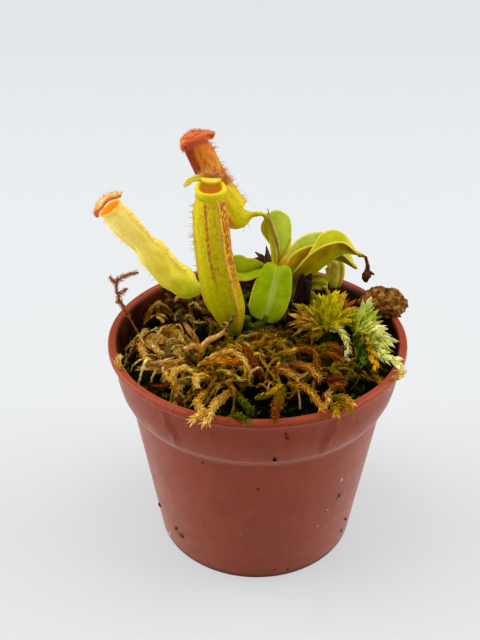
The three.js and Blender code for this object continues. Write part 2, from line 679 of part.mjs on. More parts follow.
// ---------------------------------------------------------------- pot and soil
function outerRadius(z) {
  const collarTop = pot.rimRadius - pot.lipProud;
  const levels = [
    [0, pot.baseRadius],
    [pot.stepHeight - 0.3, pot.stepRadius - 0.3],
    [pot.stepHeight, pot.stepRadius],
    [37.5, 28],
    [pot.shoulderHeight, pot.shoulderRadius],
    [pot.height - pot.lipDepth, collarTop],
    [pot.height, collarTop],
  ];
  const k = Math.max(1, levels.findIndex(([height]) => height >= z));
  const [[z0, r0], [z1, r1]] = [levels[k - 1], levels[k]];
  return THREE.MathUtils.mapLinear(z, z0, z1, r0, r1);
}

function lathe(profile) {
  const points = profile.map(([r, z]) => new THREE.Vector2(r, z));
  return new THREE.LatheGeometry(points, pot.sides).rotateX(Math.PI / 2);
}

function potSolid() {
  const { height, rimRadius, lipDepth, stepHeight, shoulderHeight, wall, floor } = pot;
  const under = height - lipDepth;
  const outside = [0, stepHeight - 0.3, stepHeight, 37.5, shoulderHeight, under].map((z) => [outerRadius(z), z]);
  const inside = [under, shoulderHeight, 37.5, stepHeight, floor].map((z) => [outerRadius(z) - wall, z]);
  const lip = [
    [rimRadius - 0.15, under + 0.1],
    [rimRadius, under + 0.5],
    [rimRadius, height - 0.4],
    [rimRadius - 0.4, height],
    [rimRadius - 1.1, height],
  ];
  let solid = solidOfGeometry(lathe([[0, 0], ...outside, ...lip, ...inside, [0, floor]]));
  for (let k = 0; k < pot.drainHoles; k += 1) {
    const turn = (2 * Math.PI * (k + 0.5)) / pot.drainHoles;
    const drill = new THREE.CylinderGeometry(pot.drainRadius, pot.drainRadius, 4 * floor, 14).rotateX(Math.PI / 2);
    drill.translate(pot.drainCircle * Math.cos(turn), pot.drainCircle * Math.sin(turn), 0);
    solid = solid.subtract(solidOfGeometry(drill));
  }
  return solid;
}

// The room that the pot and the clearance round it take up, from below the soil to over the rim.
function potKeepOut() {
  const { height, rimRadius, shoulderHeight } = pot;
  const inside = [height + gap, shoulderHeight, 36, 30].map((z) => [outerRadius(Math.min(z, height)) - pot.wall - gap, z]);
  const outside = [[rimRadius + gap, 30], [rimRadius + gap, height + gap]];
  return solidOfGeometry(lathe([...outside, ...inside, outside[0]]));
}

function soilTop(x, y) {
  const middle = 1 - (x * x + y * y) / 760;
  const lumps = 0.35 * Math.sin(0.55 * x + 1) * Math.cos(0.5 * y) + 0.25 * Math.sin(0.9 * y + 0.4 * x);
  return soilHeight + soilCrown * middle + lumps;
}

function soilSolid(rise = 0) {
  const circle = (r, z) => Array.from({ length: pot.sides }, (_, k) => {
    const turn = (2 * Math.PI * k) / pot.sides;
    const [x, y] = [r * Math.sin(turn), r * Math.cos(turn)];
    return vec([x, y, z ?? soilTop(x, y) + rise]);
  });
  const fit = (z) => outerRadius(z) - pot.wall - gap + rise;
  const low = pot.floor + gap;
  const walls = [low, pot.stepHeight, 37.5].map((z) => circle(fit(z), z));
  const top = [fit(soilHeight), 22, 17, 12, 7, 3].map((r) => circle(r));
  return skin([[vec([0, 0, low])], ...walls, ...top, [vec([0, 0, soilTop(0, 0) + rise])]]);
}

// ---------------------------------------------------------------- assembly
const plant = new THREE.Group();
const add = (solid, name, colour) => plant.add(meshOf(solid, name, colour));
const without = (solid, others) => others.reduce((rest, other) => rest.subtract(other), solid);

const stem = (grow) => joined([
  strand({ path: stemPath, radii: stemRadii, sides: 8, steps: 6 }, grow),
  strand({ ...bud, sides: 7, steps: 4 }, grow),
]);
const deadPiece = (spec, grow) => joined(spec.strands.map((s) => strand(s, grow)));

add(potSolid(), 'pot', 'pot');
add(stem(0), 'stem', 'stem');

// What is above the soil is fitted in this order: each piece keeps clear of those before it.
const taken = [potKeepOut(), stem(gap)];
for (const spec of leafSpecs) {
  add(without(leaf(spec), taken), spec.name, spec.colour);
  taken.push(leaf(spec, gap));
}
for (const spec of pitcherSpecs) {
  add(without(pitcher(spec), taken), spec.name, spec.colour);
  taken.push(pitcher(spec, gap));
}
const sunk = [stem(gap)];
for (const spec of deadSpecs) {
  add(without(deadPiece(spec, 0), taken), spec.name, spec.colour);
  taken.push(deadPiece(spec, gap));
  sunk.push(deadPiece(spec, gap));
}
const soilBelow = soilSolid(gap);
for (const spec of headSpecs) {
  const head = mossHead(spec);
  add(without(head, [...taken, soilBelow]), spec.name, spec.colour);
  taken.push(mossHead(spec, gap));
}
for (const spec of tuftSpecs) {
  const shape = new THREE.Shape(spec.plot.map(([x, y]) => new THREE.Vector2(x, y)));
  const plot = new THREE.ExtrudeGeometry(shape, { depth: 30, bevelEnabled: false }).translate(0, 0, 35);
  const grown = without(tuft(spec), [...taken, soilBelow]).intersect(solidOfGeometry(plot));
  add(grown, spec.name, spec.colour);
}

// A warty brown clump of old moss that sits on the rim at the right.
function lumpSolid() {
  const centre = [26.3, 9.6, 48.6];
  const size = [5.7, 4.2, 3.6];
  const rings = [[vec([centre[0], centre[1], centre[2] - size[2]])]];
  for (const level of [-0.75, -0.4, 0, 0.4, 0.75]) {
    const ring = [];
    for (let k = 0; k < 14; k += 1) {
      const turn = (2 * Math.PI * k) / 14;
      const wart = 1 + 0.09 * Math.sin(3 * turn + 4 * level) + 0.07 * Math.sin(5 * turn - 6 * level);
      const r = Math.sqrt(1 - level * level) * wart;
      ring.push(vec([centre[0] + size[0] * r * Math.cos(turn), centre[1] + size[1] * r * Math.sin(turn), centre[2] + size[2] * level]));
    }
    rings.push(ring);
  }
  rings.push([vec([centre[0], centre[1], centre[2] + size[2]])]);
  const foot = strand({ path: [[24, 8.8, 41.5], [24.4, 9, 47]], radii: [2.2, 2.6], sides: 8, steps: 2 });
  return skin(rings).add(foot);
}
add(without(lumpSolid(), [...taken, soilBelow]), 'moss_lump', 'lump');
add(without(soilSolid(), sunk), 'soil', 'soil');

export default plant;
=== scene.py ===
import math
import random

import bpy
from mathutils import Matrix, Vector, noise


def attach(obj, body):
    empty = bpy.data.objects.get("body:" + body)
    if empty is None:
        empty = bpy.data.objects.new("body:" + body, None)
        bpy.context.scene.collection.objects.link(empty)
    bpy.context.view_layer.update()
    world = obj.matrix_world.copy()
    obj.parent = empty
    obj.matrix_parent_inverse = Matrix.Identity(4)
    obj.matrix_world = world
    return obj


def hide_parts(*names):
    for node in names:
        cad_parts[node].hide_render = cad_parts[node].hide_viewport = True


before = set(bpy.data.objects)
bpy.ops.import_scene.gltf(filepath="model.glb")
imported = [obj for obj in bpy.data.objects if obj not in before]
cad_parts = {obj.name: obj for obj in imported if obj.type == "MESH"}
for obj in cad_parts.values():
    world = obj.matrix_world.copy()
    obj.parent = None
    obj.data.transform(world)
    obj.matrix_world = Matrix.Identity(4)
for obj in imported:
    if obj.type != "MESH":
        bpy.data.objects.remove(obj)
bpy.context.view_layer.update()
mm = 0.001
print("frame loaded:", len(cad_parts), "nodes")


# handling pieces
def deselectAll():
    if bpy.context.object and bpy.context.object.mode != "OBJECT":
        bpy.ops.object.mode_set(mode="OBJECT")
    bpy.ops.object.select_all(action="DESELECT")


def pick(piece):
    deselectAll()
    piece.select_set(True)
    bpy.context.view_layer.objects.active = piece


def editAll():
    bpy.ops.object.mode_set(mode="EDIT")
    bpy.ops.mesh.select_all(action="SELECT")


def backToObject():
    bpy.ops.object.mode_set(mode="OBJECT")


def applyAll(piece):
    pick(piece)
    for modifier in list(piece.modifiers):
        bpy.ops.object.modifier_apply(modifier=modifier.name)


def joinPieces(pieces):
    pick(pieces[0])
    for piece in pieces:
        piece.select_set(True)
    if len(pieces) > 1:
        bpy.ops.object.join()
    return bpy.context.object


def settle(piece, name, slot, nodes, smooth=40):  # fixes its place and says what it stands for
    pick(piece)
    bpy.ops.object.transform_apply(location=True, rotation=True, scale=True)
    piece.name = name
    piece.data.name = name
    if smooth:
        bpy.ops.object.shade_smooth_by_angle(angle=math.radians(smooth))
    else:
        bpy.ops.object.shade_flat()
    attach(piece, "root")
    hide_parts(*nodes)
    return piece


# curves and outlines
def point(p):
    return Vector(p) * mm


def waysAlong(line):  # the direction of a line at each of its places
    last = len(line) - 1
    return [(line[min(i + 1, last)] - line[max(i - 1, 0)]).normalized() for i in range(last + 1)]


def smoothLine(points, count):  # evenly spaced places and directions on a curve through the points
    held = [Vector(p) for p in points]
    held = [2 * held[0] - held[1], *held, 2 * held[-1] - held[-2]]
    fine = []
    for a, b, c, d in zip(held, held[1:], held[2:], held[3:]):
        ab, bc, cd = (math.sqrt((q - p).length) for p, q in ((a, b), (b, c), (c, d)))
        start = ((b - a) / ab - (c - a) / (ab + bc) + (c - b) / bc) * bc
        end = ((c - b) / bc - (d - b) / (bc + cd) + (d - c) / cd) * bc
        for k in range(16):
            t = k / 16
            fine.append(b * (2 * t**3 - 3 * t**2 + 1) + start * (t**3 - 2 * t**2 + t)
                        + c * (3 * t**2 - 2 * t**3) + end * (t**3 - t**2))
    fine.append(held[-2])
    reached = [0.0]
    for p, q in zip(fine, fine[1:]):
        reached.append(reached[-1] + (q - p).length)
    places, k = [], 0
    for i in range(count + 1):
        want = reached[-1] * i / count
        while k < len(fine) - 2 and reached[k + 1] < want:
            k += 1
        share = (want - reached[k]) / (reached[k + 1] - reached[k])
        places.append(fine[k].lerp(fine[k + 1], min(1, share)))
    return places, waysAlong(places)


def readAlong(values, t):  # a smooth reading of a list of values from 0 to 1 along it
    place = min(max(t, 0), 1) * (len(values) - 1)
    k = min(int(place), len(values) - 2)
    f = place - k
    before, low, high, after = (values[min(max(k + d, 0), len(values) - 1)] for d in (-1, 0, 1, 2))
    bend = (high - before) / 2, (after - low) / 2
    value = (low * (2 * f**3 - 3 * f**2 + 1) + bend[0] * (f**3 - 2 * f**2 + f)
             + high * (3 * f**2 - 2 * f**3) + bend[1] * (f**3 - f**2))
    return max(value, min(low, high, 0.4))


def ease(low, high, x):
    t = min(max((x - low) / (high - low), 0), 1)
    return t * t * (3 - 2 * t)


def carried(ahead):  # side directions that follow a line without twisting
    side = Vector((0, 0, 1)).cross(ahead[0])
    if side.length < 0.2:
        side = Vector((1, 0, 0))
    sides = []
    for way in ahead:
        side = (side - way * side.dot(way)).normalized()
        sides.append(side.copy())
    return sides


# surfaces laid from a grid
def layGrid(columns, rows, place, wrapped=False):
    deselectAll()
    bpy.ops.mesh.primitive_grid_add(x_subdivisions=columns, y_subdivisions=rows, size=1)
    piece = bpy.context.object
    for vertex in piece.data.vertices:
        vertex.co = place(vertex.co.x + 0.5, vertex.co.y + 0.5)
    if wrapped:
        editAll()
        bpy.ops.mesh.remove_doubles(threshold=0.002 * mm)
        bpy.ops.mesh.fill_holes(sides=0)
        bpy.ops.mesh.select_all(action="SELECT")
        bpy.ops.mesh.normals_make_consistent(inside=False)
        backToObject()
    return piece


def layStrand(look, sides=8, rows=14):  # a tapered round strand, closed at both ends
    places, ahead = smoothLine(look["path"], rows)
    across = carried(ahead)
    wobble, seed = look.get("wobble", 0), look.get("seed", 0)

    def place(u, v):
        k = round(v * rows)
        turn = 2 * math.pi * u
        radius = readAlong(look["radii"], v) * (0.02 if k in (0, rows) else 1)
        radius *= 1 + wobble * noise.noise(Vector((3 * math.cos(turn), 3 * math.sin(turn), 9 * v + seed)))
        other = ahead[k].cross(across[k])
        flat = look.get("flat", 1)
        return (places[k] + across[k] * radius * math.cos(turn)
                + other * radius * flat * math.sin(turn)) * mm
    return layGrid(sides, rows, place, wrapped=True)


def layBlade(look, columns=20, rows=44):  # a blade folded along its keel
    places, ahead = smoothLine(look["keel"], rows)
    halves = look["halves"]
    apart = (Vector(halves[1]["toward"]) - Vector(halves[0]["toward"])).normalized()
    wave = look.get("wave", 0.25)

    def place(u, v):
        k = round(v * rows)
        s = 2 * u - 1
        half = halves[0 if s < 0 else 1]
        reach = readAlong(half["widths"], v)
        opening = max(0, look.get("opening", 2.6) / reach - 0.8) * (-1 if s < 0 else 1)
        out = Vector(half["toward"]) + apart * opening
        out = (out - ahead[k] * out.dot(ahead[k])).normalized()
        face = ahead[k].cross(out) * (-1 if s < 0 else 1)
        bow = look.get("camber", 0.35) * math.sin(math.pi * abs(s)) * min(1, reach / 2.5)
        bow += look.get("groove", 0.12) * (1 - math.exp(-((s * reach / 0.5) ** 2)))
        ripple = noise.noise(Vector((s * 1.3, v * 3.5, 1))) * wave * abs(s) * min(1, reach / 2)
        lobe = look.get("lobes", 0) * math.sin(math.pi * min(1, abs(s) * 1.1)) * ease(0.8, 1, v)
        return (places[k] + out * abs(s) * reach + face * (bow + ripple) + ahead[k] * lobe) * mm
    piece = layGrid(columns, rows, place)
    piece.data.materials.append(None)  # the two sides get a skin each
    piece.data.materials.append(None)
    thickness = piece.modifiers.new("thickness", "SOLIDIFY")
    thickness.thickness = look.get("thickness", 0.5) * mm
    thickness.offset = 0
    thickness.material_offset = 1
    rounding = piece.modifiers.new("rounding", "SUBSURF")
    rounding.levels = rounding.render_levels = 1
    applyAll(piece)
    return piece


# many copies in one mesh
def aimed(place, way, roll=0.0, size=1.0):  # a matrix that stands a shape at a place, pointing a way
    turn = way.to_track_quat("Z", "Y").to_matrix().to_4x4()
    return Matrix.Translation(place) @ turn @ Matrix.Rotation(roll, 4, "Z") @ Matrix.Scale(size, 4)


def standing(way, out):  # turns a leaf to point a way with its hollow side inwards
    z = way.normalized()
    y = out - z * out.dot(z)
    y = y.normalized() if y.length > 1e-6 else z.orthogonal().normalized()
    return Matrix((y.cross(z), y, z)).transposed().to_4x4()


def spreadCopies(pattern, places):  # one mesh from many copies of a small shape, each with its own colour
    corners = [vertex.co.copy() for vertex in pattern.data.vertices]
    faces = [tuple(face.vertices) for face in pattern.data.polygons]
    points, polygons, shades = [], [], []
    for matrix, colour in places:
        start = len(points)
        points.extend(matrix @ corner for corner in corners)
        polygons.extend(tuple(start + i for i in face) for face in faces)
        shades.extend((*colour, 1.0) * len(corners))
    piece = meshFrom("copies", points, polygons, shades)
    bpy.data.objects.remove(pattern)
    return piece


def meshFrom(name, points, polygons, shades):
    mesh = bpy.data.meshes.new(name)
    mesh.from_pydata(points, [], polygons)
    mesh.attributes.new("shade", "FLOAT_COLOR", "POINT").data.foreach_set("color", shades)
    piece = bpy.data.objects.new(name, mesh)
    bpy.context.scene.collection.objects.link(piece)
    return piece


def layThreads(threads, sides=5):  # one mesh from many closed tapered threads, coloured from end to end
    points, polygons, shades = [], [], []
    for line, radius, first, last in threads:
        ahead = waysAlong(line)
        across = carried(ahead)
        start, end = len(points), len(line) - 1
        for i, centre in enumerate(line):
            thick = readAlong(radius, i / end)
            other = ahead[i].cross(across[i])
            for k in range(sides):
                turn = 2 * math.pi * k / sides
                points.append((centre + (across[i] * math.cos(turn) + other * math.sin(turn)) * thick) * mm)
                shades.extend((*first.lerp(last, i / end), 1.0))
        for i in range(end):
            for k in range(sides):
                a, b = start + i * sides + k, start + i * sides + (k + 1) % sides
                polygons.append((a, b, b + sides, a + sides))
        polygons.append(tuple(start + k for k in range(sides - 1, -1, -1)))
        polygons.append(tuple(start + end * sides + k for k in range(sides)))
    return meshFrom("threads", points, polygons, shades)


# shading
def tint(r, g, b):
    return tuple((c / 255) ** 2.2 for c in (r, g, b)) + (1,)


def shadeOf(colour):  # the same without its alpha, to mix by hand
    return Vector(tint(*colour)[:3])


def put(tree, kind, inputs=None, **settings):
    node = tree.nodes.new(kind)
    for key, value in settings.items():
        setattr(node, key, value)
    for key, value in (inputs or {}).items():
        if isinstance(value, bpy.types.NodeSocket):
            tree.links.new(value, node.inputs[key])
        else:
            node.inputs[key].default_value = value
    return node


def blend(tree, share, first, second, way="MIX"):
    node = put(tree, "ShaderNodeMix", {0: share, 6: first, 7: second}, data_type="RGBA", blend_type=way)
    return node.outputs[2]


def rampOf(tree, value, stops):
    node = put(tree, "ShaderNodeValToRGB", {"Fac": value})
    elements = node.color_ramp.elements
    while len(elements) < len(stops):
        elements.new(0.5)
    for element, (position, colour) in zip(elements, stops):
        element.position = position
        element.color = tint(*colour)
    return node.outputs["Color"]


def spanOf(tree, value, low, high, first=0.0, last=1.0):  # value from low to high becomes first to last
    span = {"Value": value, "From Min": low, "From Max": high, "To Min": first, "To Max": last}
    return put(tree, "ShaderNodeMapRange", span, interpolation_type="SMOOTHSTEP").outputs["Result"]


def sums(tree, operation, first, second=0.0):
    return put(tree, "ShaderNodeMath", {0: first, 1: second}, operation=operation).outputs[0]


def times(tree, first, second):
    return sums(tree, "MULTIPLY", first, second)


def plus(tree, first, second):
    return sums(tree, "ADD", first, second)


def minus(tree, first, second):
    return sums(tree, "SUBTRACT", first, second)


def placeOf(tree, axis, space="Object"):  # one coordinate of the spot being shaded
    where = put(tree, "ShaderNodeTexCoord").outputs[space]
    return put(tree, "ShaderNodeSeparateXYZ", {0: where}).outputs[axis]


def marked(tree, name, output="Color"):  # a value that the points of the mesh carry
    return put(tree, "ShaderNodeAttribute", attribute_name=name).outputs[output]


def paint(tree, colour, share, top):  # lays another colour over the first by a share
    return blend(tree, share, colour, tint(*top))


def cloudOf(tree, size, detail=3.0, stretch=(1, 1, 1), turn=(0, 0, 0)):  # noise with spots about this size
    where = put(tree, "ShaderNodeTexCoord").outputs["Object"]
    laid = {"Vector": where, "Scale": stretch, "Rotation": turn}
    mapped = put(tree, "ShaderNodeMapping", laid).outputs[0]
    node = put(tree, "ShaderNodeTexNoise", {"Vector": mapped, "Scale": 1 / (size * mm), "Detail": detail})
    return node.outputs["Fac"]


def newSkin(name, **sockets):
    material = bpy.data.materials.new(name)
    material.use_nodes = True
    shader = material.node_tree.nodes["Principled BSDF"]
    for key, value in sockets.items():
        shader.inputs[key.replace("_", " ")].default_value = value
    return material, material.node_tree, shader


def glow(shader, weight, reach=0.9):  # light that passes through thin living tissue
    shader.inputs["Subsurface Weight"].default_value = weight
    shader.inputs["Subsurface Scale"].default_value = reach * mm
    shader.inputs["Subsurface Radius"].default_value = (1.0, 0.9, 0.25)


def bumpFrom(tree, shader, height, depth):
    node = put(tree, "ShaderNodeBump", {"Height": height, "Distance": depth * mm, "Strength": 1.0})
    tree.links.new(node.outputs["Normal"], shader.inputs["Normal"])


def dress(piece, *materials):
    slots = piece.data.materials
    while len(slots) < len(materials):
        slots.append(None)
    for k, material in enumerate(materials):
        slots[k] = material


# camera and light
studio = {
    "aim": (-3.5, 0, 49.94), "distance": 180, "elevation": math.degrees(0.541),
    "focal": 898.5, "frameHeight": 640, "sensor": 36,  # focal length and height in picture dots
    "floorSize": 400, "floorGlow": 0.36, "skyStrength": 0.25,
    "lamps": [  # name, direction that it shines from, strength, spread in degrees
        ("topLamp", (0.0, 0.1, 1), 0.8, 60),
        ("leftLamp", (-1, 0.15, 0.5), 1.25, 55),
        ("rightLamp", (1, 0.15, 0.5), 1.1, 55),
    ],
}


def setStudio():
    rise = math.radians(studio["elevation"])
    back = Vector((0, -math.cos(rise), math.sin(rise)))
    deselectAll()
    bpy.ops.object.camera_add(location=point(studio["aim"]) + back * studio["distance"] * mm,
                              rotation=(math.pi / 2 - rise, 0, 0))
    camera = bpy.context.object
    camera.data.sensor_width = studio["sensor"]
    camera.data.lens = studio["sensor"] * studio["focal"] / studio["frameHeight"]
    camera.data.clip_start = 0.01
    bpy.context.scene.camera = camera

    bpy.ops.mesh.primitive_plane_add(size=studio["floorSize"], location=(0, 0, 0))
    floor = bpy.context.object
    floor.name = "floor"
    material, tree, shader = newSkin("paleFloor", Roughness=0.8, Specular_IOR_Level=0.1,
                                     Emission_Strength=studio["floorGlow"])
    shader.inputs["Emission Color"].default_value = tint(244, 248, 250)
    # painted shade: the floor is painted darker towards the back, where less light falls
    depth = placeOf(tree, "Y")
    far = spanOf(tree, depth, 0.08, 0.5)
    tree.links.new(blend(tree, far, tint(155, 155, 155), tint(140, 143, 144)), shader.inputs["Base Color"])
    dress(floor, material)

    world = bpy.data.worlds.new("studio")
    bpy.context.scene.world = world
    world.use_nodes = True
    sky = world.node_tree.nodes["Background"]
    sky.inputs["Color"].default_value = tint(250, 252, 255)
    sky.inputs["Strength"].default_value = studio["skyStrength"]
    for name, way, strength, spread in studio["lamps"]:
        toward = Vector(way).to_track_quat("Z", "Y").to_euler()
        bpy.ops.object.light_add(type="SUN", location=Vector(way), rotation=toward)
        lamp = bpy.context.object
        lamp.name = name
        lamp.data.energy = strength
        lamp.data.angle = math.radians(spread)
    scene = bpy.context.scene
    scene.view_settings.view_transform = "Standard"
    scene.view_settings.look = "High Contrast"
    print("camera and lights set")


setStudio()


# pot
pot = {
    "wall": 0.8,
    "floor": 1.2,
    "sides": 288,
    "outer": [(21.15, 0), (26.2, 34.4), (26.5, 34.7), (27.35, 35.9), (28, 37.5), (28.3, 38.8),
              (28.5, 39.8), (28.95, 45.5)],
    "lip": [(29.85, 45.55), (30, 45.8), (30.0, 46.2), (29.92, 46.32), (30, 46.45), (29.95, 46.8),
            (29.7, 47), (29.2, 47), (28.6, 46.95)],
    "drainHoles": 6,
    "drainRadius": 1.8,
    "drainCircle": 14.5,
    "panelMiddle": -4,
    "panelEdge": 28.6,
    "panelDepth": 0.3,
}


def outerRadius(z):
    for (r0, z0), (r1, z1) in zip(pot["outer"], pot["outer"][1:]):
        if z <= z1:
            return r0 + (r1 - r0) * (z - z0) / (z1 - z0)
    return pot["outer"][-1][0]


def potPlastic():
    material, tree, shader = newSkin("potPlastic", Roughness=0.42, Specular_IOR_Level=0.5, Sheen_Weight=0.3,
                                     Sheen_Roughness=0.4)
    streaks = cloudOf(tree, 1.6, 4, stretch=(1, 1, 0.2))
    mottle = cloudOf(tree, 7, 4)
    base = rampOf(tree, streaks, [(0.35, (157, 74, 44)), (0.65, (163, 78, 47))])
    base = paint(tree, base, spanOf(tree, mottle, 0.35, 0.7, 0, 0.35), (149, 68, 40))
    height = placeOf(tree, "Z")
    base = paint(tree, base, spanOf(tree, height, 45.4 * mm, 45.7 * mm, 0, 0.7), (176, 84, 50))
    # painted highlight: a light line along the collar's step
    stepHighlightLine = sums(tree, "ABSOLUTE", minus(tree, height, 35.9 * mm))
    base = paint(tree, base, spanOf(tree, stepHighlightLine, 0.1 * mm, 0.4 * mm, 0.3, 0), (206, 140, 116))
    film = times(tree, spanOf(tree, cloudOf(tree, 1.1, 6), 0.52, 0.66), spanOf(tree, mottle, 0.4, 0.6))
    film = times(tree, film, spanOf(tree, height, 30 * mm, 45 * mm, 0.1, 0.5))
    base = paint(tree, base, film, (122, 56, 38))
    # painted shade: the inside wall is painted dark brown, as shade in the pot's hollow
    insideShade = blend(tree, spanOf(tree, mottle, 0.4, 0.6), tint(70, 34, 14), tint(112, 62, 34))
    inside = marked(tree, "inside", "Fac")
    base = blend(tree, inside, base, insideShade)
    tree.links.new(spanOf(tree, inside, 0, 1, 0.3, 0), shader.inputs["Sheen Weight"])
    dust = put(tree, "ShaderNodeTexVoronoi", {"Vector": put(tree, "ShaderNodeTexCoord").outputs["Object"],
                                              "Scale": 1 / (1.5 * mm)})
    speck = spanOf(tree, dust.outputs["Distance"], 0.05, 0.1, 1, 0)
    drawn = put(tree, "ShaderNodeSeparateColor", {0: dust.outputs["Color"]}).outputs[0]
    chosen = sums(tree, "GREATER_THAN", drawn, 0.88)
    base = paint(tree, base, times(tree, times(tree, speck, chosen), 0.5), (214, 176, 156))
    # painted shadow: the pot is painted darker at its foot, where it meets the floor
    base = paint(tree, base, spanOf(tree, height, 0.0, 1.6 * mm, 0.7, 0), (70, 30, 20))
    tree.links.new(base, shader.inputs["Base Color"])
    tree.links.new(spanOf(tree, cloudOf(tree, 3, 5), 0.3, 0.75, 0.36, 0.5), shader.inputs["Roughness"])
    bumpFrom(tree, shader, plus(tree, times(tree, cloudOf(tree, 5, 2), 2.0), streaks), 0.03)
    return material


def makePot():
    deselectAll()
    sides = pot["sides"]
    outside = [(21.0, 0), *pot["outer"][0:1], (21.3, 1.0)]
    outside += [(outerRadius(z), z) for z in (6, 12, 18, 24, 30, 33.5)]
    outside += [(26.2, 34.4), (26.27, 34.5), (26.5, 34.7), (26.9, 35.2), (27.35, 35.9), (28, 37.5)]
    outside += [(28.3, 38.8), (28.5, 39.8), (28.6, 41), (28.75, 43), (28.9, 45), (28.95, 45.45)]
    inner = [(28.2, 46.3), (28.1, 45.5), (27.7, 39.8), (27.2, 37.5), (25.75, 34.7)]
    inner += [(outerRadius(z) - pot["wall"], z) for z in (30, 20, 10, 2)] + [(20.0, pot["floor"])]
    profile = outside + pot["lip"] + inner
    bpy.ops.mesh.primitive_circle_add(vertices=sides, radius=profile[0][0] * mm, fill_type="NGON")
    piece = bpy.context.object
    editAll()
    bpy.ops.mesh.extrude_region_move()  # the first ring stays as the base, the rest rises from it
    for (r0, z0), (r1, z1) in zip(profile, profile[1:]):
        bpy.ops.transform.translate(value=(0, 0, (z1 - z0) * mm))
        scale = r1 / r0
        bpy.ops.transform.resize(value=(scale, scale, 1), center_override=(0, 0, z1 * mm))
        if (r1, z1) != profile[-1]:
            bpy.ops.mesh.extrude_region_move()
    for step in (17.5, 14.5, 11.5, 6, 0.01):  # rings across the floor
        bpy.ops.mesh.extrude_region_move()
        scale = step / r1
        bpy.ops.transform.resize(value=(scale, scale, 1), center_override=(0, 0, pot["floor"] * mm))
        r1 = step
    bpy.ops.mesh.select_all(action="SELECT")
    bpy.ops.mesh.normals_make_consistent(inside=False)
    backToObject()
    within = piece.data.attributes.new("inside", "FLOAT", "POINT").data
    for vertex, mark in zip(piece.data.vertices, within):  # shallow panels in the collar, front and back
        x, y, z = vertex.co / mm
        mark.value = z > 1 and math.hypot(x, y) < (outerRadius(z) - 0.5 if z < 45.4 else 28.3)
        turn = abs(math.degrees(math.atan2(x, abs(y))) - pot["panelMiddle"]) - 3.2 * ease(40, 41.4, z)
        edge = ease(pot["panelEdge"] - 0.7, pot["panelEdge"] + 0.7, turn)
        depth = (1 - edge - 0.5 * math.exp(-((turn - pot["panelEdge"] - 1.2) / 0.8) ** 2))
        depth *= ease(35.2, 37.3, z) * ease(45.2, 44.9, z)
        if x * x + y * y > 27.1 ** 2 and z < 45.4 and outerRadius(z) - math.hypot(x, y) < 0.3:
            shrink = 1 - pot["panelDepth"] * depth / math.hypot(x, y)
            vertex.co.x *= shrink
            vertex.co.y *= shrink
    for k in range(pot["drainHoles"]):
        turn = 2 * math.pi * (k + 0.5) / pot["drainHoles"]
        deselectAll()
        bpy.ops.mesh.primitive_cylinder_add(vertices=24, radius=pot["drainRadius"] * mm, depth=6 * mm,
                                            location=(pot["drainCircle"] * math.cos(turn) * mm,
                                                      pot["drainCircle"] * math.sin(turn) * mm, 0))
        drill = bpy.context.object
        cut = piece.modifiers.new("drain", "BOOLEAN")
        cut.object = drill
        cut.operation = "DIFFERENCE"
        applyAll(piece)
        bpy.data.objects.remove(drill)
    dress(piece, potPlastic())
    settle(piece, "nurseryPot", "pot", ["pot"], smooth=28)
    print("pot made")


makePot()


specks = [  # angle from the front, height, colour, half sizes across, out and up
    (5.8, 36.9, (22, 8, 6), (0.34, 0.2, 0.26)), (-0.2, 27.8, (103, 62, 47), (0.3, 0.15, 0.18)),
    (9.4, 43.2, (103, 34, 25), (0.12, 0.1, 0.5)), (10.0, 42.2, (103, 34, 25), (0.35, 0.1, 0.12)),
    (43.9, 19.3, (140, 127, 96), (0.55, 0.3, 0.75)), (42.8, 18.6, (170, 160, 140), (0.3, 0.25, 0.4)),
    (41.8, 24.1, (196, 176, 164), (0.5, 0.12, 0.45)), (-51.3, 6.7, (146, 137, 87), (0.5, 0.25, 0.4)),
    (-45.9, 6.3, (118, 112, 62), (0.8, 0.4, 0.55)), (-49.2, 7.6, (103, 87, 56), (0.3, 0.3, 0.3)),
    (-59.7, 2.4, (226, 206, 196), (0.4, 0.3, 0.35)), (-68, 8.5, (118, 93, 62), (0.5, 0.35, 0.6)),
    (56.8, 4.6, (149, 140, 103), (0.5, 0.3, 0.7)), (58.5, 7.4, (118, 112, 87), (0.3, 0.3, 0.4)),
    (17.6, 1.5, (149, 78, 56), (0.4, 0.15, 0.2)), (9.7, 2.1, (149, 78, 56), (0.35, 0.15, 0.2)),
    (-47.5, 38.4, (214, 172, 120), (0.35, 0.15, 0.2)), (-46.3, 37.4, (204, 160, 110), (0.14, 0.12, 0.55)),
    (36.5, 16.8, (206, 186, 170), (0.22, 0.1, 0.22)), (31.9, 13.0, (206, 180, 164), (0.2, 0.1, 0.22)),
    (-16.5, 24.6, (196, 150, 130), (0.16, 0.08, 0.16)), (-7.9, 14.1, (196, 156, 136), (0.16, 0.08, 0.16)),
    (30.5, 38, (103, 47, 34), (0.16, 0.1, 0.14)), (-24, 33, (150, 84, 60), (0.3, 0.1, 0.14)),
    (-6, 37.3, (200, 150, 130), (0.14, 0.08, 0.14)), (20, 8, (196, 150, 130), (0.13, 0.08, 0.13)),
]


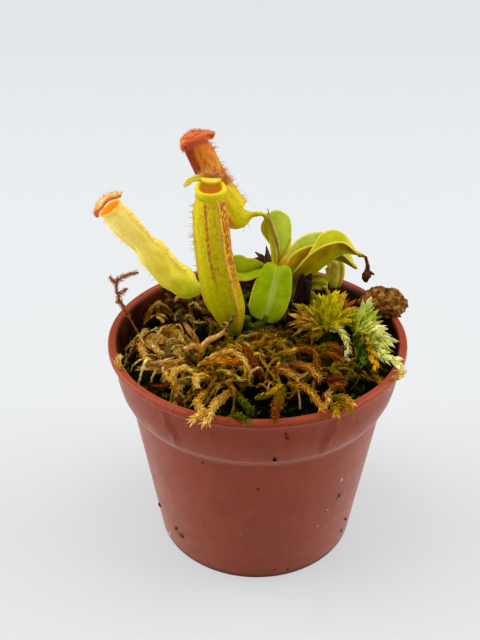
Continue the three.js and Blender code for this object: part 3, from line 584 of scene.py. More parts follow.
def makeSpecks():  # crumbs of peat and lime that stick to the wall
    places = []
    for turn, z, colour, size in specks:
        angle = math.radians(turn)
        out = Vector((math.sin(angle), -math.cos(angle), 0))
        across = Vector((math.cos(angle), math.sin(angle), 0))
        stand = Matrix((across, out, (0, 0, 1))).transposed().to_4x4()
        root = out * (outerRadius(z) - (0.1 if z > 37 else -0.05)) + Vector((0, 0, z))
        size = Matrix.Diagonal((*size, 1))
        places.append((Matrix.Translation(root * mm) @ stand @ size, shadeOf(colour)))
    deselectAll()
    bpy.ops.mesh.primitive_ico_sphere_add(subdivisions=2, radius=1 * mm)
    for vertex in bpy.context.object.data.vertices:
        vertex.co *= 1 + 0.35 * noise.noise(vertex.co / mm * 2.5)
    crumbs = spreadCopies(bpy.context.object, places)
    material, tree, shader = newSkin("stuckCrumbs", Roughness=0.75, Specular_IOR_Level=0.2)
    tree.links.new(marked(tree, "shade"), shader.inputs["Base Color"])
    dress(crumbs, material)
    settle(crumbs, "stuckCrumbs", "pot", ["pot"], smooth=60)


makeSpecks()


# soil and the lie of the moss
soil = {"edge": 41, "crown": 1.8, "radius": 27.6, "floor": 1.5, "gap": 0.3, "crumbs": 0.8}
mounds = [  # centre, half widths, top: the moss tufts of the frame
    {"node": "moss_left", "x": -19.6, "y": -5, "wide": 8.4, "deep": 13, "top": 45},
    {"node": "moss_centre", "x": -2, "y": -11.6, "wide": 11, "deep": 13.4, "top": 45.8},
    {"node": "moss_right", "x": 16.8, "y": -10.8, "wide": 9.4, "deep": 12, "top": 44.4},
    {"node": "moss_back_left", "x": -16.6, "y": 15.6, "wide": 9.6, "deep": 7.4, "top": 44},
    {"node": "moss_back", "x": 8, "y": 21.8, "wide": 14.6, "deep": 5.6, "top": 43.8},
]


def soilTop(x, y):
    lumps = 0.35 * math.sin(0.55 * x + 1) * math.cos(0.5 * y) + 0.25 * math.sin(0.9 * y + 0.4 * x)
    return soil["edge"] + soil["crown"] * (1 - (x * x + y * y) / 760) + lumps


def mossTop(x, y):
    high = soilTop(x, y)
    for mound in mounds:
        away = math.hypot((x - mound["x"]) / mound["wide"], (y - mound["y"]) / mound["deep"])
        high = max(high, mound["top"] - (mound["top"] - soilTop(x, y)) * ease(0.55, 1.05, away))
    return high


def peat():
    material, tree, shader = newSkin("dampPeat", Roughness=0.6, Specular_IOR_Level=0.15)
    grain = cloudOf(tree, 0.9, 6)
    colour = rampOf(tree, grain, [(0.4, (4, 3, 2)), (0.6, (14, 9, 5)), (0.8, (48, 30, 14))])
    tree.links.new(colour, shader.inputs["Base Color"])
    tree.links.new(spanOf(tree, grain, 0.4, 0.7, 0.25, 0.8), shader.inputs["Roughness"])
    bumpFrom(tree, shader, grain, 0.35)
    return material


def makeSoil():
    def place(u, v):
        turn = 2 * math.pi * u
        if v < 0.5:  # the wall, from the floor up
            z = soil["floor"] + (soil["edge"] - soil["floor"]) * v / 0.5
            reach = outerRadius(z) - pot["wall"] - soil["gap"]
            reach *= 0.001 if v == 0 else 1
            return Vector((reach * math.sin(turn), reach * math.cos(turn), z)) * mm
        reach = (outerRadius(soil["edge"]) - pot["wall"] - soil["gap"]) * (1 - (v - 0.5) / 0.5)
        x, y = reach * math.sin(turn), reach * math.cos(turn)
        crumbs = noise.fractal(Vector((x, y, 0)) * 0.7, 1, 2, 5) * soil["crumbs"] * ease(0.5, 0.53, v)
        return Vector((x, y, soilTop(x, y) + crumbs - 0.2)) * mm
    piece = layGrid(160, 120, place, wrapped=True)
    dress(piece, peat())
    settle(piece, "pottingPeat", "soil", ["soil"], smooth=60)
    print("soil made")


makeSoil()


# leaves
leafVeins = {"pairs": 22, "slant": 2.4, "show": 0.08}


def leafSkin(name, look):
    material, tree, shader = newSkin(name, Roughness=0.42, Specular_IOR_Level=0.22)
    glow(shader, 0.3)
    across, along = placeOf(tree, "X", "UV"), placeOf(tree, "Y", "UV")
    out = times(tree, sums(tree, "ABSOLUTE", minus(tree, across, 0.5)), 2.0)
    patches = cloudOf(tree, 2.2, 3)
    fine = cloudOf(tree, 0.3, 4)
    colour = rampOf(tree, patches, [(0.35, look["deep"]), (0.65, look["light"])])
    if "half" in look:
        colour = paint(tree, colour, spanOf(tree, across, 0.49, 0.51, 0, 0.85), look["half"])
    colour = paint(tree, colour, spanOf(tree, fine, 0.35, 0.75, 0, 0.3), look["light"])
    slant = minus(tree, times(tree, along, leafVeins["pairs"]), times(tree, out, leafVeins["slant"]))
    veins = sums(tree, "SINE", times(tree, slant, 2 * math.pi))
    colour = paint(tree, colour, spanOf(tree, veins, 0.8, 1, 0, leafVeins["show"]), look["light"])
    colour = paint(tree, colour, spanOf(tree, along, 0.0, look.get("footEnd", 0.15), 0.8, 0), look["rib"])
    tipShare = spanOf(tree, along, look.get("tipFrom", 0.75), 1, 0, look.get("tipShare", 0.3))
    colour = paint(tree, colour, tipShare, look["tip"])
    ribShare = spanOf(tree, out, 0.03, look.get("ribWidth", 0.12), look.get("ribShare", 0.8), 0)
    colour = paint(tree, colour, ribShare, look["rib"])
    marginShare = spanOf(tree, out, look.get("marginFrom", 0.9), 0.97, 0, 0.9)
    colour = paint(tree, colour, marginShare, look["margin"])
    tree.links.new(colour, shader.inputs["Base Color"])
    height = plus(tree, times(tree, spanOf(tree, veins, 0.5, 1), 0.3), fine)
    bumpFrom(tree, shader, height, 0.04)
    return material


leaves = {
    "leaf_upright": {
        "slot": "leaf_light", "camber": 0.2,
        "keel": [[4.9, 12.6, 53], [4.2, 12.2, 56.4], [3.7, 12.2, 60.7], [3.0, 12.2, 64.4],
                 [2.2, 12.2, 67.5]],
        "halves": [
            {"toward": (0.93, 0.35, -0.12), "widths": [0.5, 0.7, 1.4, 2.4, 3.3, 3.9, 4.2, 4.0, 2.6]},
            {"toward": (-0.95, 0.25, 0.1), "widths": [0.4, 0.4, 0.4, 0.5, 0.7, 1.5, 2.3, 1.9, 0.5]},
        ],
        "lobes": 0.5,
        "top": {"deep": (206, 224, 64), "light": (226, 238, 104), "rib": (226, 228, 110),
                "margin": (232, 226, 120), "tip": (226, 238, 104), "ribShare": 0.3,
                "half": (206, 184, 26)},
        "under": {"deep": (200, 196, 50), "light": (226, 214, 84), "rib": (226, 214, 84),
                  "margin": (206, 150, 70), "tip": (190, 150, 50), "ribWidth": 0.3},
    },
    "leaf_front": {
        "slot": "leaf_green",
        "keel": [[4.7, 11.9, 54.9], [4.4, 10.9, 56.2], [3.9, 9, 54.3], [3.3, 7.2, 52.1], [2.6, 5.4, 49.8],
                 [1.6, 4.2, 47.4]],
        "halves": [
            {"toward": (-0.98, 0, 0.24), "widths": [0.7, 2.2, 3.3, 3.9, 4.2, 4.4, 4.5, 4.5, 4.3, 3.2]},
            {"toward": (0.98, -0.24, -0.08), "widths": [0.7, 2.3, 3.1, 3.5, 3.7, 3.8, 3.7, 3.5, 3.0, 1.9]},
        ],
        "lobes": 0.3, "wave": 0.14, "groove": 0.26,
        "top": {"deep": (158, 184, 0), "light": (186, 204, 22), "rib": (216, 226, 124),
                "margin": (240, 214, 90), "tip": (156, 186, 0), "ribWidth": 0.3, "ribShare": 0.85,
                "footEnd": 0.08, "marginFrom": 0.93},
        "under": {"deep": (180, 186, 50), "light": (200, 200, 70), "rib": (214, 214, 100),
                  "margin": (240, 214, 90), "tip": (180, 186, 50)},
    },
    "leaf_left": {
        "slot": "leaf_green",
        "keel": [[4.6, 12.5, 52.8], [2.6, 11.7, 55.2], [0, 10.8, 55.6], [-2.1, 10.1, 55.2],
                 [-5.2, 9.2, 55.6], [-8, 8.8, 55.5]],
        "halves": [
            {"toward": (0, 0.5, 0.87), "widths": [0.2, 0.3, 0.35, 1.8, 3.0, 3.7, 3.8, 3.1, 1.6]},
            {"toward": (0, -0.99, -0.12), "widths": [0.2, 0.3, 0.5, 2.0, 2.5, 2.6, 2.5, 2.1, 1.1]},
        ],
        "wave": 0.02,
        "top": {"deep": (158, 176, 0), "light": (190, 200, 20), "rib": (226, 228, 140),
                "margin": (226, 206, 80), "tip": (164, 184, 0), "ribWidth": 0.09},
        "under": {"deep": (164, 176, 30), "light": (190, 196, 50), "rib": (210, 210, 90),
                  "margin": (226, 206, 80), "tip": (170, 176, 30)},
    },
    "leaf_long": {
        "slot": "leaf_olive",
        "keel": [[5.2, 12.9, 48.4], [9, 12.3, 50.9], [11.9, 13, 53], [15.4, 14, 55.6], [18.6, 15, 57.1],
                 [22.2, 15, 56.9]],
        "halves": [
            {"toward": (0, -0.15, 0.99),
             "widths": [0.7, 2.0, 3.2, 4.3, 4.9, 5.2, 5.2, 4.7, 3.4, 1.6, 0.5]},
            {"toward": (0, 0.45, 0.89), "widths": [0.6, 1.3, 2.2, 2.9, 3.4, 4.1, 4.9, 6.0, 5.6, 1.6, 0.4]},
        ],
        "top": {"deep": (206, 212, 20), "light": (232, 226, 76), "rib": (226, 220, 90),
                "margin": (244, 222, 110), "tip": (220, 200, 50), "tipShare": 0.5, "marginFrom": 0.93},
        "under": {"deep": (178, 152, 2), "light": (204, 180, 8), "rib": (214, 212, 0),
                  "margin": (244, 222, 110), "tip": (196, 112, 50), "tipShare": 0.9, "tipFrom": 0.8,
                  "ribWidth": 0.55, "ribShare": 0.95, "marginFrom": 0.94},
    },
    "leaf_back": {
        "slot": "leaf_olive",
        "keel": [[5.6, 13.7, 51.2], [9.3, 16, 53.2], [13.7, 18.2, 53.8], [18.1, 18.6, 53.6],
                 [21.8, 18, 52]],
        "halves": [
            {"toward": (0, -0.15, 0.99), "widths": [0.8, 3.2, 4.8, 4.9, 4.4, 3.6, 2.9, 2.2, 1.4, 0.5]},
            {"toward": (0, 0.45, 0.89), "widths": [0.8, 2.2, 4.2, 5.6, 6.3, 6.4, 6.2, 5.4, 3.4, 1.6, 0.5]},
        ],
        "top": {"deep": (188, 206, 60), "light": (214, 222, 110), "rib": (220, 220, 120),
                "margin": (236, 216, 130), "tip": (170, 170, 50)},
        "under": {"deep": (214, 184, 24), "light": (240, 212, 56), "rib": (226, 190, 40),
                  "margin": (240, 206, 120), "tip": (166, 160, 10), "tipShare": 0.9, "tipFrom": 0.5,
                  "marginFrom": 0.92},
    },
    "leaf_drooping": {
        "slot": "leaf_green",
        "keel": [[5.4, 13.6, 50], [10.2, 18.2, 50.6], [15.2, 20.8, 53], [17.8, 19.9, 52.6],
                 [18.1, 18.5, 50], [17.6, 18, 47.4]],
        "halves": [
            {"toward": (-0.9, -0.4, 0), "widths": [0.5, 0.5, 0.5, 0.5, 0.8, 2.1, 3.4, 3.6, 3.2, 1.8]},
            {"toward": (0.6, 0.6, 0), "widths": [0.5, 0.5, 0.5, 0.5, 0.6, 0.8, 1.1, 1.3, 1.2, 0.7]},
        ],
        "top": {"deep": (206, 190, 50), "light": (236, 218, 110), "rib": (240, 220, 120),
                "margin": (240, 222, 130), "tip": (196, 190, 40)},
        "under": {"deep": (136, 116, 0), "light": (160, 140, 8), "rib": (236, 216, 110),
                  "margin": (210, 200, 80), "tip": (170, 164, 20), "ribWidth": 0.18,
                  "half": (220, 206, 76)},
    },
    "leaf_small": {
        "slot": "leaf_olive",
        "keel": [[5.8, 13.4, 46.4], [8, 14.6, 48.4], [10.4, 15, 49.9], [12.8, 15, 50.6], [15, 15, 50],
                 [15.1, 14.6, 48.4]],
        "halves": [
            {"toward": (-0.2, 0.5, 0.87), "widths": [0.5, 0.8, 1.1, 1.4, 1.6, 1.5, 0.6]},
            {"toward": (-0.2, -0.6, -0.8), "widths": [0.5, 0.8, 1.2, 1.6, 1.8, 1.8, 0.6]},
        ],
        "top": {"deep": (150, 96, 10), "light": (186, 140, 26), "rib": (206, 200, 50),
                "margin": (206, 212, 50), "tip": (190, 190, 40)},
        "under": {"deep": (170, 166, 20), "light": (196, 196, 40), "rib": (206, 200, 60),
                  "margin": (214, 216, 60), "tip": (190, 190, 40)},
    },
}
greenStem = {
    "deep": (190, 186, 40),
    "light": (226, 214, 80),
    "rib": (210, 196, 60),
    "margin": (210, 196, 60),
    "tip": (214, 200, 70),
}
darkStem = {
    "deep": (84, 96, 6),
    "light": (124, 126, 14),
    "rib": (150, 172, 4),
    "margin": (100, 110, 10),
    "tip": (96, 104, 8),
}
tendrils = {
    "frontTendril": {
        "node": "leaf_front", "radii": [0.9, 0.95, 0.9, 0.85, 0.85, 0.8], "skin": darkStem,
        "path": [[2.2, 4.7, 48.4], [1, 4, 46.9], [-0.4, 3.3, 46.3], [-1.5, 3, 46.6], [-2.1, 3, 47.7],
                 [-2.1, 3, 49]],
    },
    "leftTendril": {
        "node": "leaf_left", "radii": [0.6, 0.55, 0.55, 0.6], "skin": greenStem,
        "path": [[-7.2, 9, 55.4], [-8.6, 9.3, 54.6], [-9.8, 9.9, 52.4], [-10.6, 10.2, 50.4],
                 [-11.4, 10.3, 49.6]],
    },
    "uprightTendril": {
        "node": "leaf_upright", "radii": [0.45, 0.7, 0.85, 0.9, 0.85, 0.75, 0.6, 0.5, 0.5, 0.5],
        "flat": 0.8, "skin": greenStem,
        "path": [[4.4, 11.8, 54.4], [3.8, 11.6, 57], [3.4, 11.6, 60.5], [2.7, 11.6, 64],
                 [2.0, 11.7, 66.6], [0.9, 11.5, 67.9], [-0.2, 11.2, 67.9], [-0.8, 11.1, 67.6]],
    },
    "uprightSeam": {
        "node": "leaf_upright", "radii": [0.1, 0.3, 0.4, 0.4, 0.26, 0.08], "sides": 8,
        "skin": {"deep": (190, 160, 100), "light": (226, 206, 130), "rib": (206, 186, 90),
                 "margin": (190, 160, 100), "tip": (140, 100, 74)},
        "path": [[4.6, 11.5, 58.4], [4.2, 11.3, 61.6], [3.4, 11.2, 64.6], [2.6, 11.2, 67],
                 [2.0, 11.4, 69.3]],
    },
    "longTip": {
        "node": "leaf_long", "radii": [0.5, 0.45, 0.35, 0.3], "sides": 8,
        "skin": {"deep": (176, 96, 40), "light": (206, 140, 60), "rib": (190, 110, 50),
                 "margin": (150, 70, 40), "tip": (120, 60, 40)},
        "path": [[21.4, 15, 56.9], [22.2, 15, 56.8], [22.8, 15, 56.5]],
    },
}


def makeLeaves():
    for name, look in leaves.items():
        blade = layBlade(look)
        dress(blade, leafSkin(name + "Under", look["under"]), leafSkin(name + "Top", look["top"]))
        settle(blade, name + "_blade", look["slot"], [name], smooth=60)
    for name, look in tendrils.items():
        tendril = layStrand(look, look.get("sides", 14), 40)
        dress(tendril, leafSkin(name, look["skin"]))
        settle(tendril, name, leaves[look["node"]]["slot"], [look["node"]], smooth=60)
    print("leaves made")


makeLeaves()


stemStrands = [  # the stem and the two young leaves of its growing tip
    {
        "path": [[5.3, 13.4, 38], [5.2, 13.2, 44], [5.0, 12.9, 50], [4.9, 12.7, 55]],
        "radii": [1.0, 1.2, 1.3, 1.0], "wobble": 0.1,
    },
    {
        "path": [[5.1, 12.4, 56], [5.9, 12.4, 58.4], [6.7, 12.8, 60.4], [7.1, 13, 61.8]],
        "radii": [0.6, 0.95, 0.75, 0.15], "flat": 0.6,
    },
    {
        "path": [[4.4, 11.9, 55], [5.1, 11.6, 56.8], [6.0, 11.9, 58.4], [6.6, 12.2, 59.6]],
        "radii": [0.5, 0.95, 0.8, 0.15], "flat": 0.6,
    },
]


def makeStem():
    material, tree, shader = newSkin("stemSkin", Roughness=0.4)
    glow(shader, 0.3)
    height = placeOf(tree, "Z")
    uneven = plus(tree, height, times(tree, cloudOf(tree, 1.0), 3 * mm))
    rise = spanOf(tree, uneven, 44 * mm, 63 * mm)
    colour = rampOf(tree, rise, [(0.1, (150, 110, 40)), (0.5, (200, 170, 50)), (0.74, (230, 150, 20)),
                                 (0.86, (244, 176, 20)), (0.95, (240, 224, 90))])
    tree.links.new(colour, shader.inputs["Base Color"])
    piece = joinPieces([layStrand(strand, 14, 24) for strand in stemStrands])
    dress(piece, material)
    settle(piece, "mainStem", "stem", ["stem"], smooth=60)
    print("stem made")


makeStem()


# pitchers
pitchers = {
    "pitcher_centre": {
        "slot": "pitcher_green",
        "axis": [[-4.1, 3.3, 44.9], [-4.9, 2.4, 47.4], [-5.9, 1.6, 51.8], [-7.2, 1.4, 57.2],
                 [-8.3, 1.5, 63.7], [-8.8, 1.7, 70], [-9.0, 1.9, 75], [-9.0, 2, 77.2]],
        "radii": [1.2, 2.7, 3.5, 3.65, 3.5, 3.4, 3.3, 3.05, 2.5],
        "facing": [-24, -24, -24, -26, -30, -34], "spread": 1.04, "wing": 0.5,
        "mouthUp": (0, -0.17, 0.985), "lip": (0.42, 0.62), "lipOut": 0.08, "streakAt": 0.03,
        "low": (186, 196, 6), "mid": (224, 214, 6), "high": (238, 214, 34), "dark": (178, 180, 0),
        "flush": (190, 100, 52), "ridge": (232, 176, 96), "mouth": (236, 190, 96),
        "throat": (200, 158, 106), "mouthPaintedGlow": 0.1, "lipColour": (230, 218, 40), "streak": 0.9,
        "sideFlush": 0.95, "hairs": 170, "hairColour": (190, 120, 66), "paintedGlow": 0.03,
    },
    "pitcher_left": {
        "slot": "pitcher_yellow",
        "axis": [[-11.9, 10.1, 51.0], [-14, 10, 51.95], [-16.2, 10, 53.8], [-18.6, 10, 56.4],
                 [-20.6, 9.9, 59.2], [-22.2, 9.8, 61.3], [-24.2, 9.6, 64.1], [-26.6, 9.4, 67.1],
                 [-29.1, 9.2, 70.2]],
        "radii": [1.2, 2.6, 3.0, 3.05, 2.85, 2.9, 2.95, 2.4, 2.25, 2.35, 2.5, 2.5, 2.35], "facing": [-8],
        "spread": 1.25, "wing": 0.4, "mouthUp": (-0.54, -0.1, 0.84), "lip": (0.2, 0.2), "lipOut": -0.05,
        "lid": {"toward": (0.78, 0, 0.62),
                "profile": [[-3.0, 0.2], [-2.6, 1.3], [-0.8, 2.1], [1.6, 2.1], [3.6, 1.2]],
                "across": (0, 1, 0), "widths": [1.2, 2.2, 2.3, 1.8, 0.5], "camber": 0.2, "thickness": 0.6},
        "low": (216, 226, 60), "mid": (250, 240, 116), "high": (255, 238, 150), "dark": (228, 224, 70),
        "flush": (248, 206, 120), "ridge": (252, 222, 130), "mouth": (255, 190, 84),
        "throat": (236, 130, 34), "lipColour": (255, 226, 130), "dots": 0.2, "mouthPaintedGlow": 0.1,
        "lidColour": (240, 140, 84), "streak": 0.1, "sideFlush": 0.2, "hairs": 46, "lidHairs": 500,
        "hairColour": (244, 170, 110), "paintedGlow": 0.14, "lumps": 0.4,
    },
    "pitcher_back": {
        "slot": "pitcher_red",
        "axis": [[0.4, 11, 68.3], [-1.4, 11, 67.9], [-2.9, 11, 67.5], [-4.3, 11, 67.9], [-5.7, 11, 69.6],
                 [-7.3, 11, 72.6], [-8.9, 11, 75.6], [-10.3, 11, 78.6], [-11.3, 11, 81],
                 [-12.2, 10.8, 83.1]],
        "radii": [0.45, 0.7, 2.3, 3.2, 3.2, 3.0, 2.8, 2.65, 2.6, 2.55, 2.55, 2.55, 2.4], "facing": [50],
        "spread": 0.9, "wing": 0.35, "mouthUp": (-0.3, 0.42, 0.85), "lip": (0.25, 0.3), "lipOut": 0,
        "lid": {"toward": (0.95, 0, 0.27),
                "profile": [[-2.5, -0.5], [-2.2, 0.7], [-0.6, 1.5], [1.5, 1.2], [3.0, 0.7], [4.0, 0.2]],
                "across": (0, 1, 0), "widths": [1.6, 2.6, 2.7, 2.2, 1.6, 0.5], "camber": 0.5,
                "thickness": 1.1},
        "low": (220, 216, 20), "mid": (222, 206, 30), "high": (224, 140, 50), "dark": (196, 150, 10),
        "flush": (150, 46, 22), "dots": 0.5, "side": 0.64, "lowFlush": 0, "ridge": (226, 150, 90),
        "mouth": (220, 130, 70), "throat": (160, 80, 40), "lipColour": (206, 110, 70),
        "lidColour": (244, 150, 112), "streak": 0.4, "sideFlush": 0.5, "hairs": 150, "lidHairs": 1700,
        "hairColour": (238, 134, 100), "paintedGlow": 0.06,
    },
}


class Jug:  # the run of rings that a pitcher's wall follows
    def __init__(self, look):
        self.look = look
        self.rows = 60
        self.places, self.ahead = smoothLine(look["axis"], self.rows)

    def ring(self, t):
        place = min(max(t, 0), 1) * self.rows
        k = min(int(place), self.rows - 1)
        centre = self.places[k].lerp(self.places[k + 1], place - k)
        up = self.ahead[k].lerp(self.ahead[k + 1], place - k)
        up = up.lerp(Vector(self.look["mouthUp"]).normalized(), ease(0.86, 1, t)).normalized()
        facing = self.look["facing"]
        share = min(max(t, 0), 1) * (len(facing) - 1)
        low = min(int(share), max(0, len(facing) - 2))
        turn = facing[low] + (facing[min(low + 1, len(facing) - 1)] - facing[low]) * (share - low)
        faced = Vector((math.sin(math.radians(turn)), -math.cos(math.radians(turn)), 0))
        front = (faced - up * faced.dot(up)).normalized()
        return centre, up, front, up.cross(front)

    def radius(self, t):
        return readAlong(self.look["radii"], t)

    def outward(self, t, turn):  # how far the wall stands at an angle from the front
        spread, wing = self.look["spread"], self.look["wing"]
        fromFront = abs((turn + math.pi) % (2 * math.pi) - math.pi)
        fade = wing * min(1, (1 - t) * 8) * ease(0.12, 0.35, t)
        ridge = fade * math.exp(-(((fromFront - spread) / 0.12) ** 2))
        flat = 1 - 0.1 * math.exp(-((fromFront / 0.55) ** 2))
        swirl = Vector((2 * math.cos(turn), 2 * math.sin(turn), 9 * t))
        lumps = self.look.get("lumps", 0.16) * noise.noise(swirl)
        crest = math.exp(-(((fromFront - spread) / 0.1) ** 2))
        teeth = 0.3 * fade * crest * noise.noise(Vector((turn, 60 * t, 0)))
        return self.radius(t) * flat + ridge + teeth + lumps * min(1, (1 - t) * 5, t * 8)

    def wall(self, t, turn, inset=0.0):
        centre, _, front, side = self.ring(t)
        reach = max(0.01, self.outward(t, turn) - inset)
        return centre + front * reach * math.cos(turn) + side * reach * math.sin(turn)


def makeJug(name, look):
    jug = Jug(look)
    outside, around, inside = 72, 16, 30  # rings up the wall, round the lip and down inside
    rows = outside + around + inside

    def place(u, v):
        turn = 2 * math.pi * u
        k = round(v * rows)
        if k <= outside:
            t = k / outside * 0.97
            if k == 0:
                centre, up, _, _ = jug.ring(0)
                return (centre - up * jug.radius(0) * 0.7) * mm
            return jug.wall(t, turn) * mm
        if k <= outside + around:  # the rolled lip with its fine ribs
            roll = math.radians(-60 + 250 * (k - outside - 1) / (around - 1))
            centre, up, front, side = jug.ring(1)
            wide, tall = (size * (1 + 0.06 * math.sin(40 * turn)) for size in look["lip"])
            reach = jug.radius(1) + look["lipOut"] + wide * math.cos(roll)
            return (centre + front * reach * math.cos(turn) + side * reach * math.sin(turn)
                    + up * tall * math.sin(roll)) * mm
        t = 1 - (k - outside - around) / inside * 0.86
        if k == rows:
            return jug.ring(t)[0] * mm
        return jug.wall(min(t, 0.985), turn, 0.45) * mm
    piece = layGrid(90, rows, place, wrapped=True)
    share = {"outside": outside / rows, "lip": (outside + around) / rows}
    dress(piece, jugSkin(name, look, share))
    return piece


def jugSkin(name, look, share):
    material, tree, shader = newSkin(name + "Skin", Roughness=0.4, Specular_IOR_Level=0.35)
    glow(shader, 0.3)
    around, along = placeOf(tree, "X", "UV"), placeOf(tree, "Y", "UV")
    up = sums(tree, "DIVIDE", along, share["outside"])
    spread = look["spread"] / (2 * math.pi)
    fromFront = sums(tree, "MINIMUM", around, minus(tree, 1.0, around))
    patches = cloudOf(tree, 1.3, 3)
    fine = cloudOf(tree, 0.25, 5)
    grain = cloudOf(tree, 0.4, 5, stretch=(1, 1, 0.4))
    velvet = cloudOf(tree, 0.32, 6, stretch=(1, 1, 0.4))
    shifted = plus(tree, up, times(tree, minus(tree, patches, 0.5), 0.6))
    colour = rampOf(tree, shifted, [(0.1, look["low"]), (0.5, look["mid"]), (0.9, look["high"])])
    colour = paint(tree, colour, spanOf(tree, velvet, 0.4, 0.66, 0, 0.42), look["dark"])
    dots = spanOf(tree, grain, 0.56, 0.66, 0, look.get("dots", 0.4))
    colour = paint(tree, colour, times(tree, dots, spanOf(tree, up, 0.3, 0.6)), look["flush"])
    ridge = sums(tree, "ABSOLUTE", minus(tree, fromFront, spread))
    behind = spanOf(tree, fromFront, spread + 0.005, spread + 0.05)
    mottle = spanOf(tree, plus(tree, velvet, times(tree, behind, 0.05)), 0.42, 0.56)
    flushed = times(tree, times(tree, behind, mottle), look["sideFlush"])
    flushed = times(tree, flushed, spanOf(tree, up, 0.2, 0.6, look.get("lowFlush", 0.35), 1))
    colour = paint(tree, colour, flushed, look["flush"])
    if "side" in look:  # one side is painted red all the way up: partly the pitcher's own red, partly painted shade on the side turned from the light
        fromSide = sums(tree, "ABSOLUTE", minus(tree, around, look["side"]))
        towardRedShadedSide = plus(tree, fromSide, times(tree, minus(tree, velvet, 0.5), 0.25))
        redAndShadeShare = times(tree, spanOf(tree, towardRedShadedSide, 0.07, 0.28, 0.92, 0), spanOf(tree, up, 0.35, 0.6))
        colour = paint(tree, colour, redAndShadeShare, look["flush"])
    off = put(tree, "ShaderNodeTexNoise", {"W": times(tree, up, 7.0)}, noise_dimensions="1D").outputs["Fac"]
    fromStreak = sums(tree, "ABSOLUTE", minus(tree, around, look.get("streakAt", 0)))
    streakLine = spanOf(tree, plus(tree, fromStreak, times(tree, off, 0.02)), 0.012, 0.04, 1, 0)
    streak = times(tree, streakLine, spanOf(tree, velvet, 0.38, 0.56, 0.25, 1))
    streak = times(tree, streak, spanOf(tree, up, 0.3, 0.6, 0, look["streak"]))
    colour = paint(tree, colour, streak, look["flush"])
    ridgeShare = times(tree, spanOf(tree, ridge, 0.006, 0.022, 0.9, 0),
                       spanOf(tree, grain, 0.35, 0.6, 1, 0.45))
    colour = paint(tree, colour, ridgeShare, look["ridge"])
    colour = paint(tree, colour, spanOf(tree, up, 0.97, 1.0, 0, 0.95), look["lipColour"])
    mouthShare = spanOf(tree, along, share["lip"] - 0.03, share["lip"] + 0.01)
    colour = paint(tree, colour, mouthShare, look["mouth"])
    throatShare = spanOf(tree, along, share["lip"] + 0.02, share["lip"] + 0.14, 0, 0.9)
    colour = paint(tree, colour, throatShare, look["throat"])
    tree.links.new(colour, shader.inputs["Base Color"])
    tree.links.new(colour, shader.inputs["Emission Color"])  # painted glow: the wall emits its own colour, standing in for light through the thin walls, more strongly in the mouth
    tree.links.new(spanOf(tree, along, share["outside"], share["lip"] + 0.1, look["paintedGlow"],
                          look["paintedGlow"] + look.get("mouthPaintedGlow", 0.22)),
                   shader.inputs["Emission Strength"])
    tree.links.new(spanOf(tree, fine, 0.3, 0.7, 0.35, 0.6), shader.inputs["Roughness"])
    bumpFrom(tree, shader, plus(tree, velvet, fine), 0.09)
    return material


def lidBlade(jug, look):
    centre, up, _, _ = jug.ring(1)
    away = Vector(look["toward"])
    away = (away - up * away.dot(up)).normalized()
    across = Vector(look["across"])
    keel = [centre + away * out + up * rise for out, rise in look["profile"]]
    halves = [{"toward": side, "widths": look["widths"]} for side in (across, -across)]
    blade = {"keel": keel, "halves": halves, "camber": look["camber"], "wave": 0.6,
             "thickness": look["thickness"], "opening": 0.01}
    return layBlade(blade, 14, 20), blade


def hairShape(length, radius):  # one stiff hair, to be copied
    deselectAll()
    bpy.ops.mesh.primitive_cone_add(vertices=3, radius1=radius * mm, radius2=0.01 * mm, depth=length * mm,
                                    location=(0, 0, length / 2 * mm), end_fill_type="NGON")
    bpy.ops.object.transform_apply(location=True)
    return bpy.context.object


def hairSkin(name):
    material, tree, shader = newSkin(name, Roughness=0.5, Specular_IOR_Level=0.3)
    own = marked(tree, "shade")
    tree.links.new(own, shader.inputs["Base Color"])
    glow(shader, 0.3, 0.2)
    return material


def makeHairs(name, look, jug, lid, seed):
    dice = random.Random(seed)
    places = []
    colour = shadeOf(look["hairColour"])

    def plant(root, way, size):
        places.append((aimed(root * mm, way, dice.random() * 6, size), colour * dice.uniform(0.45, 1.3)))

    for _ in range(look["hairs"]):  # along the two wings
        t = dice.uniform(0.12, 0.97)
        turn = dice.choice((1, -1)) * look["spread"] + dice.gauss(0, 0.04)
        root = jug.wall(t, turn, 0.08)
        centre, up, _, across = jug.ring(t)
        way = (root - centre).normalized() + up * dice.uniform(-0.3, 0.5) + across * dice.uniform(-0.3, 0.3)
        plant(root, way, dice.uniform(0.35, 1.1))
    for _ in range(look["hairs"] * 5):  # a finer fuzz over the body
        t, turn = dice.uniform(0.1, 0.99), dice.uniform(-math.pi, math.pi)
        root = jug.wall(t, turn, 0.05)
        centre, up, _, _ = jug.ring(t)
        plant(root, (root - centre).normalized() + up * dice.uniform(-0.2, 0.5), dice.uniform(0.12, 0.32))
    for _ in range(look["hairs"]):  # round the lip's outer edge
        turn = dice.uniform(-math.pi, math.pi)
        root = jug.wall(0.965, turn, 0.02)
        centre, up, _, _ = jug.ring(0.97)
        plant(root, (root - centre).normalized() + up * dice.uniform(-0.6, 0.6), dice.uniform(0.2, 0.5))
    lidPlaces, lidAhead = smoothLine(lid["keel"], 20) if lid else ([], [])
    across = Vector(lid["halves"][0]["toward"]).normalized() if lid else None
    for _ in range(look.get("lidHairs", 0)):  # over the lid and down its edges
        k, s = dice.randrange(21), dice.choice((1, -1)) * dice.random() ** 0.6
        root = lidPlaces[k] + across * s * readAlong(lid["halves"][0]["widths"], k / 20)
        face = across.cross(lidAhead[k])
        if face.z < 0:
            face = -face
        root -= face * dice.uniform(0, 0.5 * lid["thickness"]) * (1 if abs(s) > 0.9 else 0)
        way = face * (1.4 - abs(s)) + across * s * 1.2 + Vector([dice.uniform(-0.6, 0.6) for _ in range(3)])
        plant(root, way, dice.uniform(0.25, 0.75))
    piece = spreadCopies(hairShape(1.25, 0.05), places)
    dress(piece, hairSkin(name + "Hair"))
    settle(piece, name + "_hairs", look["slot"], [name], smooth=0)


